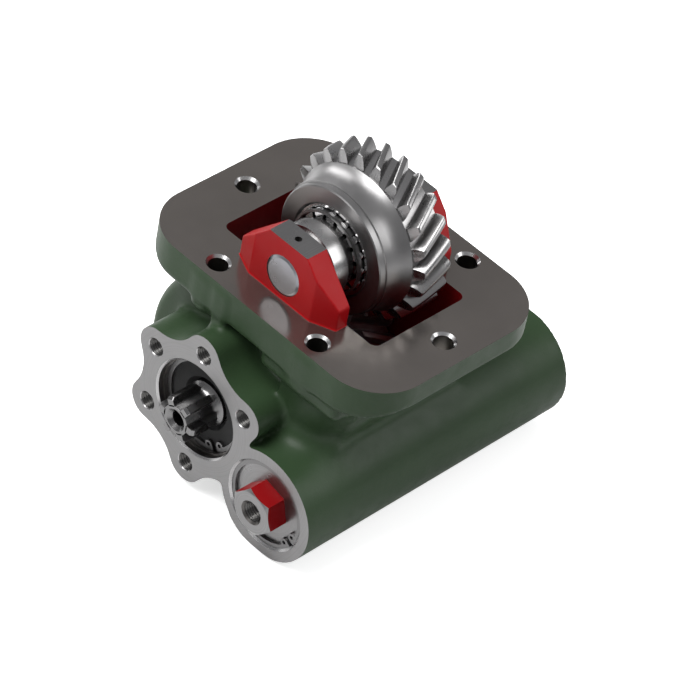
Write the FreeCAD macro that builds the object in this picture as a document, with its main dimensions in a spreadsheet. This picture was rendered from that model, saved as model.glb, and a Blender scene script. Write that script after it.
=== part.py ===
import FreeCAD, Part
import math
import os
import Sketcher

# Power take off unit, in millimetres.
# Origin: middle of the bolt pattern, in the machined face of the mounting flange.
# +Z points out of the flange, +Y along the shafts to the rear, +X to the shift side.

os.makedirs("parts", exist_ok=True)
Vector = FreeCAD.Vector
doc = FreeCAD.newDocument("power_take_off")

# Driving dimensions: name, value, meaning

SIZES = [
    ("flange_length", 172.0, "mounting flange along X"),
    ("flange_width", 127.0, "mounting flange along Y"),
    ("flange_thick", 14.0, "mounting flange thickness"),
    ("flange_corner", 30.0, "corner radius of the flange"),
    ("skirt_depth", 6.3, "extra depth of the flange at its front edge"),
    ("skirt_run", 23.5, "length over which that depth runs out"),
    ("opening_length", 109.0, "gear opening along X"),
    ("opening_width", 64.2, "gear opening along Y"),
    ("opening_corner", 4.0, "corner radius of the gear opening"),
    ("bolt_radius", 5.25, "clearance hole for the mounting bolts"),
    ("bolt_chamfer", 1.35, "chamfer of the mounting holes"),
    ("end_bolt_reach", 70.65, "end mounting holes from the middle, X"),
    ("side_bolt_reach", 35.5, "side mounting holes from the middle, X"),
    ("side_bolt_offset", 53.0, "side mounting holes from the middle, Y"),
    ("ear_thick", 13.4, "thickness of the pin ears"),
    ("ear_half_base", 34.5, "half width of an ear at its foot"),
    ("ear_shoulder", 12.0, "height where an ear starts to narrow"),
    ("ear_half_top", 13.3, "half width of the flat on top of an ear"),
    ("ear_height", 34.4, "height of an ear above the flange"),
    ("ear_bevel_run", 13.0, "length of the bevel at each side of an ear"),
    ("ear_bevel_depth", 5.9, "depth of the bevel at each side of an ear"),
    ("idler_height", 13.9, "idler axis above the flange face"),
    ("pin_radius", 11.15, "idler pin"),
    ("fit_gap", 0.05, "radial clearance of fixed and running fits"),
    ("pin_proud", 0.4, "idler pin proud of each ear"),
    ("pin_chamfer", 1.4, "end chamfer of the idler pin"),
    ("lock_radius", 1.85, "roll pin that locks the idler pin"),
    ("lock_length", 12.0, "length of the roll pin"),
    ("lock_bite", 4.5, "depth of the roll pin in the idler pin"),
    ("normal_module", 3.25, "normal module of both gears"),
    ("helix_angle", 30.0, "helix angle of both gears, degrees"),
    ("pressure_angle", 20.0, "normal pressure angle, degrees"),
    ("idler_teeth", 23, "teeth of the idler gear"),
    ("output_teeth", 24, "teeth of the output gear"),
    ("tooth_width", 21.0, "face width of both gears"),
    ("tooth_start", 4.5, "front end of the teeth, Y"),
    ("tooth_thinning", 0.16, "thinning of each tooth for backlash"),
    ("tooth_phase", 5.7, "angle of one idler tooth at the rear end, degrees"),
    ("hub_front", 17.5, "hub of the idler gear in front of its teeth"),
    ("hub_radius", 35.2, "front ring of the hub"),
    ("hub_root_radius", 38.4, "hub where it meets the teeth"),
    ("hub_step", 3.2, "polished ring at the front of the hub"),
    ("hub_rear", 4.5, "hub of the idler gear behind its teeth"),
    ("cup_radius", 24.5, "outside of the roller bearing cups"),
    ("cup_width", 12.5, "width of a roller bearing cup"),
    ("cup_recess", 1.2, "cup below the face of the hub"),
    ("bore_rib_radius", 19.0, "rib in the idler bore between the cups"),
    ("roller_count", 16, "tapered rollers in a bearing"),
    ("roller_length", 11.6, "length of a tapered roller"),
    ("roller_large", 3.0, "radius of a roller at its outer end"),
    ("roller_small", 2.6, "radius of a roller at its inner end"),
    ("roller_reach", 20.6, "roller axis at the outer end from the pin"),
    ("roller_tilt", 12.7, "tilt of the roller axis, degrees"),
    ("roller_overhang", 3.4, "roller in front of the cup"),
    ("race_gap", 0.12, "running gap of rollers and balls"),
    ("cone_rib_radius", 18.6, "large rib of the bearing cone"),
    ("cone_rib_width", 4.6, "width of the large rib"),
    ("cage_wall", 1.3, "wall of the roller cages"),
    ("washer_radius", 20.6, "thrust washers beside the ears"),
    ("washer_step_radius", 18.4, "step of the thrust washers"),
    ("washer_step", 2.6, "width of the washer step"),
    ("rear_washer_thick", 1.5, "thrust washer beside the rear ear"),
    ("side_gap", 0.15, "side clearance of fixed pieces"),
    ("output_axis_offset", -15.7, "output axis, X"),
    ("star_face", -75.3, "front face of the output flange, Y"),
    ("star_bolt_reach", 36.8, "tapped holes from the output axis"),
    ("star_lobe_radius", 11.3, "lobe round a tapped hole"),
    ("star_waist_reach", 38.2, "output flange between two lobes"),
    ("star_first_angle", 30.0, "angle of the first lobe, degrees"),
    ("tap_radius", 4.25, "core of the tapped holes in the output flange"),
    ("tap_depth", 20.0, "depth of the tapped holes"),
    ("tap_chamfer", 1.05, "chamfer of the tapped holes"),
    ("pilot_radius", 27.15, "pilot bore of the output flange"),
    ("pilot_depth", 4.0, "depth of the pilot bore"),
    ("drum_radius", 62.4, "gear case round the output axis"),
    ("drum_wall", 8.0, "end walls of the gear case"),
    ("cavity_radius", 52.0, "inside of the gear case"),
    ("drum_front", -49.0, "front wall of the gear case, Y"),
    ("drum_rear", 41.0, "rear wall of the gear case, Y"),
    ("drum_round", 6.0, "rounding of the gear case edges"),
    ("neck_half_length", 62.5, "neck under the flange, half of X"),
    ("neck_front", -43.0, "front of the neck, Y"),
    ("neck_corner", 9.0, "corner radius of the neck"),
    ("neck_slant_top", 26.0, "right wall of the neck is upright down to this depth under the flange"),
    ("neck_slant_foot", 50.0, "depth under the flange where that wall meets the shift cylinder"),
    ("neck_slant_run", 12.0, "how far that wall leans in"),
    ("rib_thick", 9.0, "upright rib over the output flange"),
    ("rib_shift", -5.0, "upright rib from the output axis, X"),
    ("rib_front", -64.0, "front of the upright rib, Y"),
    ("pad_depth", 17.0, "thickened flange at the front, downward"),
    ("pad_front", -62.0, "front of the thickened flange, Y"),
    ("pad_left", 7.0, "left end of the thickened flange, X"),
    ("pad_right", 62.0, "right end of the thickened flange, X"),
    ("pad_round", 6.0, "rounding of the thickened flange"),
    ("boss_radius", 11.0, "boss under a mounting hole"),
    ("boss_depth", 12.0, "boss under a mounting hole, downward"),
    ("gusset_left", 20.0, "left side of the front wall over the shift cylinder, X"),
    ("gusset_right", 57.0, "right side of the front wall over the shift cylinder, X"),
    ("gusset_front", -58.0, "front of that wall, Y"),
    ("shift_offset_along", 55.62, "shift axis from the output axis, X"),
    ("shift_offset_down", 22.36, "shift axis under the output axis, Z"),
    ("tube_radius", 30.75, "outside of the shift cylinder"),
    ("tube_rear", 114.3, "rear end of the shift cylinder, Y"),
    ("tube_round", 1.0, "rounding of the rear end"),
    ("cylinder_radius", 24.35, "bore of the shift cylinder"),
    ("cylinder_chamfer", 1.2, "chamfer at the mouth of the bore"),
    ("rod_radius", 7.0, "shift rod"),
    ("rod_spigot", 5.0, "spigots at both ends of the rod"),
    ("guide_radius", 13.0, "bosses that guide the rod"),
    ("guide_length", 7.0, "length of the guide bosses"),
    ("stroke", 6.0, "travel of the shift"),
    ("shaft_radius", 12.5, "bearing seats of the output shaft"),
    ("spline_minor", 10.5, "root of the output spline"),
    ("spline_tooth", 5.0, "tooth width of the splines"),
    ("spline_teeth", 6, "teeth of the output spline"),
    ("shaft_proud", 13.0, "output shaft in front of the output flange"),
    ("shaft_tap_radius", 4.25, "core of the thread in the shaft end"),
    ("shaft_tap_depth", 24.0, "depth of the thread in the shaft end"),
    ("shaft_tap_mouth", 6.4, "mouth of the thread in the shaft end"),
    ("drive_major", 16.2, "sleeve spline of the shaft, outside"),
    ("drive_minor", 14.2, "sleeve spline of the shaft, root"),
    ("drive_teeth", 8, "teeth of the sleeve spline"),
    ("journal_radius", 14.0, "seat of the gear bush"),
    ("bush_wall", 2.5, "wall of the gear bush"),
    ("seal_width", 7.0, "width of the shaft seal"),
    ("bearing_radius", 26.0, "outside of the ball bearings"),
    ("bearing_width", 15.0, "width of the ball bearings"),
    ("bearing_inner", 16.6, "shoulder of the inner rings"),
    ("bearing_outer", 22.0, "shoulder of the outer rings"),
    ("ball_radius", 3.97, "balls"),
    ("ball_count", 9, "balls in a bearing"),
    ("bearing_stop", 4.0, "shoulder in front of the case for the bearing"),
    ("ring_width", 1.5, "thickness of the retaining rings"),
    ("ring_depth", 1.2, "depth of the retaining ring grooves"),
    ("ring_wall", 3.4, "radial width of the retaining rings"),
    ("gear_washer_thick", 2.0, "thrust washers beside the output gear"),
    ("gear_washer_radius", 19.5, "outside of those washers"),
    ("gear_hub_rear", 4.0, "hub of the output gear behind its teeth"),
    ("gear_hub_radius", 29.0, "hub of the output gear"),
    ("dog_inner", 20.5, "inside of the clutch dogs"),
    ("dog_outer", 27.0, "outside of the clutch dogs"),
    ("dog_count", 8, "clutch dogs on each piece"),
    ("dog_angle", 20.0, "width of a dog, degrees"),
    ("gear_dog_length", 8.0, "dogs of the output gear"),
    ("sleeve_dog_length", 5.5, "dogs of the sleeve"),
    ("dog_gap", 1.0, "gap between the dogs when released"),
    ("sleeve_length", 19.0, "clutch sleeve without its dogs"),
    ("sleeve_radius", 25.0, "outside of the clutch sleeve"),
    ("groove_radius", 20.5, "fork groove in the sleeve"),
    ("groove_width", 8.0, "width of the fork groove"),
    ("groove_start", 5.5, "fork groove from the front of the sleeve"),
    ("fork_gap", 0.3, "clearance of the fork in its groove"),
    ("fork_radius", 29.0, "outside of the fork"),
    ("fork_arm", 14.0, "width of the fork arm"),
    ("fork_boss", 12.5, "boss of the fork on the rod"),
    ("fork_pin_radius", 2.0, "roll pin through the fork boss"),
    ("cap_recess", 3.0, "cap below the cylinder face"),
    ("cap_width", 6.3, "disc of the cap"),
    ("hex_width", 24.0, "hexagon of the cap, across flats"),
    ("hex_length", 12.0, "length of the hexagon"),
    ("hex_angle", -13.0, "turn of the hexagon, degrees"),
    ("hex_chamfer", 1.2, "chamfer of the hexagon"),
    ("port_radius", 5.75, "core of the thread in the air port"),
    ("port_chamfer", 1.1, "chamfer of the air port"),
    ("seal_cord", 1.5, "section radius of the O-rings"),
    ("lug_angle", -31.0, "lugs of the cylinder retaining ring, degrees"),
    ("piston_gap", 0.7, "piston behind the cap when released"),
    ("piston_width", 8.0, "piston"),
    ("piston_nut_height", 3.6, "thin nut in the piston"),
    ("piston_nut_radius", 9.4, "thin nut across corners, half"),
    ("collar_start", 9.0, "spring collar behind the rear wall"),
    ("collar_radius", 17.0, "spring collar"),
    ("collar_width", 5.0, "spring collar"),
    ("chamber_radius", 20.0, "spring chamber"),
    ("spring_radius", 14.0, "mean radius of the return spring"),
    ("spring_wire", 1.6, "wire radius of the return spring"),
    ("spring_turns", 6.0, "turns of the return spring"),
    ("plug_radius", 22.0, "rear plug"),
    ("plug_width", 13.0, "rear plug"),
    ("plug_recess", 2.5, "rear plug below the end of the tube"),
    ("plug_socket", 7.0, "hexagon socket of the plug, half across corners"),
    ("cover_radius", 36.0, "rear bearing boss and cover"),
    ("cover_boss", 50.0, "rear face of the bearing boss, Y"),
    ("cover_thick", 6.0, "rear cover"),
    ("cover_bolt_reach", 31.0, "cover screws from the output axis"),
    ("cover_bolt_count", 3, "cover screws"),
    ("cover_first_bolt", 38.0, "angle of the first cover screw, degrees"),
    ("cover_relief", 0.6, "gap between the rear cover and the shift cylinder"),
    ("cover_screw_radius", 3.0, "cover screws"),
    ("cover_screw_length", 14.0, "cover screws under the head"),
    ("screw_head_width", 10.0, "screw heads across flats"),
    ("screw_head_height", 4.0, "screw heads"),
]

sheet = doc.addObject("Spreadsheet::Sheet", "Sizes")
for row, (alias, value, note) in enumerate(SIZES, start=1):
    sheet.set("A%d" % row, note)
    sheet.set("B%d" % row, str(value))
    sheet.setAlias("B%d" % row, alias)
doc.recompute()


def size(alias):
    """The value of one driving dimension."""
    return float(sheet.get(alias))


def worked_out(rule):
    """The value of a rule made of driving dimensions."""
    row = len(SIZES) + 1
    sheet.set("B%d" % row, "=" + rule.replace("Sizes.", ""))
    doc.recompute()
    return float(sheet.get("B%d" % row))


def reference_point(name, along, across, height):
    """A named point that fixes where an axis runs."""
    point = doc.addObject("Part::Vertex", name)
    point.setExpression("X", along)
    point.setExpression("Y", across)
    point.setExpression("Z", height)
    doc.recompute()
    return point


# The three shaft axes, all along +Y
gear_distance = (
    "((Sizes.idler_teeth + Sizes.output_teeth) / 2 * Sizes.normal_module"
    " / cos(Sizes.helix_angle * 1deg))"
)
idler_axis = reference_point("idler_axis", "0mm", "0mm", "Sizes.idler_height * 1mm")
output_axis = reference_point(
    "output_axis",
    "Sizes.output_axis_offset * 1mm",
    "0mm",
    "(Sizes.idler_height - sqrt(%s^2 - Sizes.output_axis_offset^2)) * 1mm" % gear_distance,
)
shift_axis = reference_point(
    "shift_axis",
    "output_axis.X + Sizes.shift_offset_along * 1mm",
    "0mm",
    "output_axis.Z - Sizes.shift_offset_down * 1mm",
)

# Stations along Y that several pieces share
star = "Sizes.star_face"
# the rear bearing sits this much deeper in its hub than the front one
rear_sink = (
    "(Sizes.cone_rib_width + Sizes.race_gap + Sizes.roller_overhang - Sizes.cup_recess"
    " - Sizes.opening_width / 2 + Sizes.tooth_start + Sizes.tooth_width + Sizes.hub_rear"
    " + 2 * Sizes.side_gap + Sizes.rear_washer_thick)"
)
drum_inside_front = "Sizes.drum_front + Sizes.drum_wall"
drum_inside_rear = "Sizes.drum_rear - Sizes.drum_wall"
front_bearing = "%s - Sizes.bearing_stop - Sizes.bearing_width" % drum_inside_front
seal_start = "%s - Sizes.seal_width - Sizes.side_gap" % front_bearing
gear_washer_front = "Sizes.tooth_start - Sizes.gear_washer_thick - 2 * Sizes.side_gap"
gear_hub_end = "Sizes.tooth_start + Sizes.tooth_width + Sizes.gear_hub_rear"
gear_washer_rear = "%s + Sizes.side_gap" % gear_hub_end
rear_bearing = "%s + Sizes.gear_washer_thick + Sizes.side_gap" % gear_washer_rear
rear_bearing_end = "%s + Sizes.bearing_width" % rear_bearing
gear_dog_front = "Sizes.tooth_start - Sizes.gear_dog_length"
sleeve_front = (
    "%s - Sizes.dog_gap - Sizes.sleeve_dog_length - Sizes.sleeve_length" % gear_dog_front
)
cap_face = "%s + Sizes.cap_recess" % star
cap_end = "%s + Sizes.cap_width" % cap_face
piston_start = "%s + Sizes.piston_gap" % cap_end
piston_end = "%s + Sizes.piston_width" % piston_start
fork_start = "%s + Sizes.groove_start + Sizes.fork_gap" % sleeve_front
collar_start = "Sizes.drum_rear + Sizes.collar_start"
plug_start = "Sizes.tube_rear - Sizes.plug_recess - Sizes.plug_width"


def origin_plane(body, role):
    """One of a body's own base planes."""
    return [plane for plane in body.Origin.OriginFeatures if plane.Role == role][0]


def place(item, along, across, height):
    """Bind where a piece stands."""
    item.setExpression("Placement.Base.x", along)
    item.setExpression("Placement.Base.y", across)
    item.setExpression("Placement.Base.z", height)


def on_axis(item, axis, station):
    """Bind a piece to a shaft axis, starting at a station."""
    place(item, "%s.X" % axis.Name, station, "%s.Z" % axis.Name)


def draw_profile(sketch, corners):
    """A closed outline whose corners are bound, one pair of expressions each."""
    count = len(corners)
    spots = []
    for index in range(count):
        turn = 2 * math.pi * index / count
        spots.append(Vector(60 + 30 * math.cos(turn), 60 + 30 * math.sin(turn), 0))
    for index in range(count):
        sketch.addGeometry(Part.LineSegment(spots[index], spots[(index + 1) % count]))
    for index in range(count):
        sketch.addConstraint(Sketcher.Constraint("Coincident", index, 2, (index + 1) % count, 1))
    for index, pair in enumerate(corners):
        for kind, base_line, text in zip(("DistanceX", "DistanceY"), (-2, -1), pair):
            if text == "0":
                sketch.addConstraint(Sketcher.Constraint("PointOnObject", index, 1, base_line))
                continue
            rule = sketch.addConstraint(Sketcher.Constraint(kind, -1, 1, index, 1, 20.0))
            sketch.setExpression("Constraints[%d]" % rule, text)


def start_body(label, role, corners):
    """A body with its first sketch on one of its base planes."""
    body = doc.addObject("PartDesign::Body", label)
    sketch = body.newObject("Sketcher::SketchObject", label + "_outline")
    sketch.AttachmentSupport = [(origin_plane(body, role), "")]
    sketch.MapMode = "FlatFace"
    draw_profile(sketch, corners)
    return body, sketch


def turned(label, axis, station, corners):
    """A turned piece: radius and station pairs, spun about its own axis."""
    body, sketch = start_body(label, "XY_Plane", corners)
    spin = body.newObject("PartDesign::Revolution", label + "_spin")
    spin.Profile = sketch
    spin.ReferenceAxis = (sketch, ["V_Axis"])
    spin.Angle = 360
    on_axis(body, axis, station)
    doc.recompute()
    return body


def padded(label, role, corners, length, reverse=False):
    """A prism raised from one of the body's base planes."""
    body, sketch = start_body(label, role, corners)
    pad = body.newObject("PartDesign::Pad", label + "_pad")
    pad.Profile = sketch
    pad.Reversed = reverse
    pad.setExpression("Length", length)
    doc.recompute()
    return body


def rounded(body, radius, chosen):
    """Round the edges of a body for which the test holds."""
    base = body.Tip
    names = []
    for number, edge in enumerate(base.Shape.Edges, start=1):
        if chosen(edge):
            names.append("Edge%d" % number)
    fillet = body.newObject("PartDesign::Fillet", body.Label + "_round")
    fillet.Base = (base, names)
    fillet.setExpression("Radius", radius)
    doc.recompute()
    return body


def upright(edge):
    """True for a straight edge along Z."""
    ends = [vertex.Point for vertex in edge.Vertexes]
    return len(ends) == 2 and abs((ends[1] - ends[0]).normalize().z) > 0.999


def cylinder(name, axis, radius, start, length):
    """A round bar along +Y on a shaft axis."""
    bar = doc.addObject("Part::Cylinder", name)
    bar.setExpression("Radius", radius)
    bar.setExpression("Height", length)
    bar.Placement = FreeCAD.Placement(Vector(), FreeCAD.Rotation(Vector(1, 0, 0), -90))
    on_axis(bar, axis, start)
    return bar


def flat_ring(name, axis, inner, outer, station, thick):
    """A plain washer, tube or ring along +Y."""
    bar = cylinder(name + "_bar", axis, outer, station, thick)
    bore = cylinder(name + "_bore", axis, inner, "%s - 1" % station, "%s + 2" % thick)
    return taken_away(name, bar, [bore])


def cone(name, axis, first, second, start, length):
    """A round taper along +Y on a shaft axis."""
    taper = doc.addObject("Part::Cone", name)
    taper.setExpression("Radius1", first)
    taper.setExpression("Radius2", second)
    taper.setExpression("Height", length)
    taper.Placement = FreeCAD.Placement(Vector(), FreeCAD.Rotation(Vector(1, 0, 0), -90))
    on_axis(taper, axis, start)
    return taper


def block(name, low, high):
    """A box between two corners, each given as three expressions."""
    box = doc.addObject("Part::Box", name)
    for side, first, last in zip(("Length", "Width", "Height"), low, high):
        box.setExpression(side, "(%s) - (%s)" % (last, first))
    place(box, *low)
    return box


def joined(name, pieces):
    """Several pieces as one."""
    union = doc.addObject("Part::MultiFuse", name)
    union.Shapes = pieces
    union.Refine = True
    doc.recompute()
    return union


def taken_away(name, piece, tools):
    """A piece with others cut out of it."""
    cut = doc.addObject("Part::Cut", name)
    cut.Base = piece
    cut.Tool = tools[0] if len(tools) == 1 else joined(name + "_tools", tools)
    cut.Refine = True
    doc.recompute()
    return cut


def shaped(name, shape):
    """A piece whose form is worked out below."""
    piece = doc.addObject("Part::Feature", name)
    piece.Shape = shape
    return piece


def polar(radius, degrees, station=0.0):
    """A point round a shaft axis; 0 degrees is +X and 90 is +Z."""
    turn = math.radians(degrees)
    return Vector(radius * math.cos(turn), station, radius * math.sin(turn))


def around(shape, count, first=0.0):
    """Copies of a shape round the +Y axis."""
    copies = []
    for index in range(int(count)):
        copy = shape.copy()
        # a turn from +X to +Z is a negative turn about +Y
        copy.rotate(Vector(), Vector(0, 1, 0), -(first + index * 360.0 / int(count)))
        copies.append(copy)
    return copies


def hexagon(name, width, start, length, axis, angle):
    """A hexagonal prism along +Y, with one flat at the given angle."""
    reach = width / math.sqrt(3)
    corners = [polar(reach, 30 + 60 * index + angle) for index in range(6)]
    face = Part.Face(Part.makePolygon(corners + corners[:1]))
    prism = shaped(name, face.extrude(Vector(0, length, 0)))
    on_axis(prism, axis, start)
    return prism


# Housing: one casting with flange, ears, gear case, output flange and shift cylinder

def flange_plate():
    """The mounting flange with its round corners."""
    half_x, half_y = "Sizes.flange_length / 2", "Sizes.flange_width / 2"
    corners = [("-" + half_x, "-" + half_y), (half_x, "-" + half_y), (half_x, half_y), ("-" + half_x, half_y)]
    plate = padded("flange", "XY_Plane", corners, "Sizes.flange_thick + Sizes.skirt_depth", reverse=True)
    rounded(plate, "Sizes.flange_corner", upright)
    # the underside rises from the deep front edge to the plain thickness
    thick, deep = size("flange_thick"), size("flange_thick") + size("skirt_depth")
    edge = -size("flange_width") / 2
    side = [(edge, -deep), (edge + size("skirt_run"), -thick), (-edge + 1, -thick), (-edge + 1, -deep - 1), (edge, -deep - 1)]
    return taken_away("flange_cut", plate, [crosswise("flange_underside", side, size("flange_length"))])


def crosswise(name, corners, length):
    """A bar along X over an outline of (Y, Z) corners, centred on the row."""
    points = [Vector(-length / 2 - 1, along, height) for along, height in corners]
    face = Part.Face(Part.makePolygon(points + points[:1]))
    return shaped(name, face.extrude(Vector(length + 2, 0, 0)))


def right_of_neck(name, wall):
    """What lies outside the leaning right wall of the neck, or of its inside face."""
    right = wall
    top = -size("flange_thick") - size("neck_slant_top")
    foot = -size("flange_thick") - size("neck_slant_foot")
    floor = float(output_axis.Z) - 2
    outline = [(right, top), (right - size("neck_slant_run"), foot), (right - size("neck_slant_run"), floor)]
    outline += [(right + 12, floor), (right + 12, top)]
    start = size("gusset_front") - 2
    points = [Vector(along, start, height) for along, height in outline]
    face = Part.Face(Part.makePolygon(points + points[:1]))
    return shaped(name, face.extrude(Vector(0, size("drum_rear") + 2 - start, 0)))


def gear_opening():
    """The opening through the flange and the neck."""
    half_x, half_y = "Sizes.opening_length / 2", "Sizes.opening_width / 2"
    corners = [("-" + half_x, "-" + half_y), (half_x, "-" + half_y), (half_x, half_y), ("-" + half_x, half_y)]
    depth = "-1 * output_axis.Z + 1mm"
    shaft = padded("opening", "XY_Plane", corners, depth, reverse=True)
    rounded(shaft, "Sizes.opening_corner", upright)
    place(shaft, "0mm", "0mm", "1mm")
    return taken_away("opening_cut", shaft, [right_of_neck("opening_slant", size("opening_length") / 2)])


def neck_block():
    """The neck between the flange and the gear case."""
    half_x = "Sizes.neck_half_length"
    corners = [
        ("-" + half_x, "Sizes.neck_front"),
        (half_x, "Sizes.neck_front"),
        (half_x, "Sizes.drum_rear"),
        ("-" + half_x, "Sizes.drum_rear"),
    ]
    neck = padded("neck", "XY_Plane", corners, "-1 * output_axis.Z", reverse=True)
    rounded(neck, "Sizes.neck_corner", upright)
    return taken_away("neck_cut", neck, [right_of_neck("neck_slant", size("neck_half_length"))])


def ear(name, front):
    """One ear that holds the idler pin; its bevelled side faces away from the gear."""
    base, top = "Sizes.ear_half_base", "Sizes.ear_half_top"
    corners = [
        ("-" + base, "0"),
        (base, "0"),
        (base, "Sizes.ear_shoulder"),
        (top, "Sizes.ear_height"),
        ("-" + top, "Sizes.ear_height"),
        ("-" + base, "Sizes.ear_shoulder"),
    ]
    body = padded(name, "XZ_Plane", corners, "Sizes.ear_thick", reverse=not front)
    side = "-Sizes.opening_width / 2" if front else "Sizes.opening_width / 2"
    place(body, "0mm", side, "0mm")
    doc.recompute()
    inner = size("opening_width") / 2
    outer = inner + size("ear_thick")
    bend = size("ear_half_base") - size("ear_bevel_run")
    far = size("ear_half_base") + 1
    slope = size("ear_bevel_depth") / size("ear_bevel_run")
    wedges = []
    for hand in (-1, 1):
        way = -1 if front else 1
        points = [
            Vector(hand * bend, way * outer, -1),
            Vector(hand * far, way * (outer - slope * (far - bend)), -1),
            Vector(hand * far, way * (outer + 1), -1),
            Vector(hand * bend, way * (outer + 1), -1),
        ]
        face = Part.Face(Part.makePolygon(points + points[:1]))
        wedges.append(shaped(name + "_bevel", face.extrude(Vector(0, 0, size("ear_height") + 2))))
    return taken_away(name + "_cut", body, wedges)


def star_outline():
    """Outline of the output flange: lobes at every 60 degrees but the last, waists between."""
    reach = size("star_bolt_reach")
    lobe = size("star_lobe_radius")
    waist = size("star_waist_reach")
    # waist arc: centre so far out that it is tangent to both lobes
    far = (reach**2 - (lobe - waist) ** 2) / (2 * (reach * math.cos(math.radians(30)) + lobe - waist))
    hollow = far - waist
    first = size("star_first_angle")
    edges = []
    for index in range(6):
        middle = first + 60 * index
        centre = polar(reach, middle)
        touches = []
        for side in (-30, 30):
            away = polar(far, middle + side) - centre
            touches.append(centre + away.normalize() * lobe)
        outer = centre + polar(lobe, middle)
        edges.append(Part.Arc(touches[0], outer, touches[1]).toShape())
        following = polar(reach, middle + 60)
        start = following + (polar(far, middle + 30) - following).normalize() * lobe
        edges.append(Part.Arc(touches[1], polar(far - hollow, middle + 30), start).toShape())
    return Part.Face(Part.Wire(edges))


def output_flange():
    """The star-shaped flange, from its face back to the gear case."""
    length = size("drum_front") + size("drum_wall") - size("star_face")
    lobes = shaped("output_flange", star_outline().extrude(Vector(0, length, 0)))
    on_axis(lobes, output_axis, star)
    # the lobe at 330 degrees is not there: the shift cylinder takes its place
    missing = polar(size("star_bolt_reach") + size("star_lobe_radius"), size("star_first_angle") + 300)
    trim = Part.makeBox(30, length + 2, 60, Vector(0, -1, -30))
    trim.translate(Vector(size("star_waist_reach"), 0, 0))
    trim.rotate(Vector(), Vector(0, 1, 0), -(size("star_first_angle") + 300))
    cutter = shaped("output_flange_trim", trim.common(Part.makeSphere(missing.Length + 5 + length)))
    on_axis(cutter, output_axis, star)
    return taken_away("output_flange_cut", lobes, [cutter])


def drum():
    """The gear case round the output axis, with rounded edges."""
    length = "Sizes.drum_rear - Sizes.drum_front"
    corners = [("0", "0"), ("Sizes.drum_radius", "0"), ("Sizes.drum_radius", length), ("0", length)]
    body = turned("gear_case", output_axis, "Sizes.drum_front", corners)
    limit = size("drum_radius") - 0.1
    return rounded(body, "Sizes.drum_round", lambda edge: edge.BoundBox.XMax > limit and edge.Closed)


def shift_tube():
    """The shift cylinder, with its rear end rounded."""
    length = "Sizes.tube_rear - Sizes.star_face"
    corners = [("0", "0"), ("Sizes.tube_radius", "0"), ("Sizes.tube_radius", length), ("0", length)]
    body = turned("shift_tube", shift_axis, star, corners)
    limit = size("tube_rear") - size("star_face") - 0.1
    middle = lambda edge: edge.BoundBox.YMin > limit and edge.Closed
    return rounded(body, "Sizes.tube_round", middle)


def thick_front():
    """The thickened underside of the flange at the front."""
    corners = [
        ("Sizes.pad_left", "Sizes.pad_front"),
        ("Sizes.pad_right", "Sizes.pad_front"),
        ("Sizes.pad_right", "Sizes.neck_front + Sizes.neck_corner"),
        ("Sizes.pad_left", "Sizes.neck_front + Sizes.neck_corner"),
    ]
    pad = padded("thick_front", "XY_Plane", corners, "Sizes.flange_thick + Sizes.pad_depth", reverse=True)
    front = size("pad_front") + 0.1
    bottom = 0.1 - size("flange_thick") - size("pad_depth")
    low = lambda edge: edge.BoundBox.ZMax < bottom and edge.BoundBox.YMin < front
    return rounded(pad, "Sizes.pad_round", lambda edge: low(edge) or (upright(edge) and edge.BoundBox.YMax < front))


def bolt_bosses():
    """Round bosses under the side mounting holes."""
    bosses = []
    for along in (-1, 1):
        for across in (-1, 1):
            boss = doc.addObject("Part::Cylinder", "bolt_boss")
            boss.setExpression("Radius", "Sizes.boss_radius")
            boss.setExpression("Height", "Sizes.boss_depth + Sizes.flange_thick / 2")
            depth = "-Sizes.flange_thick - Sizes.boss_depth"
            place(boss, "%d * Sizes.side_bolt_reach" % along, "%d * Sizes.side_bolt_offset" % across, depth)
            bosses.append(boss)
    # the flange edge is the limit of the bosses
    edge = block(
        "boss_limit",
        ("-Sizes.flange_length / 2", "-Sizes.flange_width / 2", "-Sizes.flange_thick - Sizes.boss_depth - 1"),
        ("Sizes.flange_length / 2", "Sizes.flange_width / 2", "0"),
    )
    limited = doc.addObject("Part::Common", "bolt_bosses")
    limited.Base = joined("bolt_boss_group", bosses)
    limited.Tool = edge
    doc.recompute()
    return limited


def case_blocks():
    """The sump between the drum and the tube, the upright rib and the gusset."""
    bottom = "shift_axis.Z / 1mm - Sizes.tube_radius"
    sump = block("sump", ("output_axis.X / 1mm", "Sizes.drum_front", bottom), ("shift_axis.X / 1mm", "Sizes.drum_rear", "shift_axis.Z / 1mm"))
    rib = block(
        "upright_rib",
        (
            "output_axis.X / 1mm + Sizes.rib_shift - Sizes.rib_thick / 2",
            "Sizes.rib_front",
            "output_axis.Z / 1mm + Sizes.star_bolt_reach",
        ),
        (
            "output_axis.X / 1mm + Sizes.rib_shift + Sizes.rib_thick / 2",
            "Sizes.neck_front + 1",
            "-Sizes.flange_thick / 2",
        ),
    )
    gusset = block(
        "gusset",
        ("Sizes.gusset_left", "Sizes.gusset_front", "shift_axis.Z / 1mm"),
        ("Sizes.gusset_right", "Sizes.neck_front + 1", "-Sizes.flange_thick - 1"),
    )
    wall = taken_away("front_wall", gusset, [right_of_neck("front_wall_slant", size("neck_half_length"))])
    return [sump, rib, wall]


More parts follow.
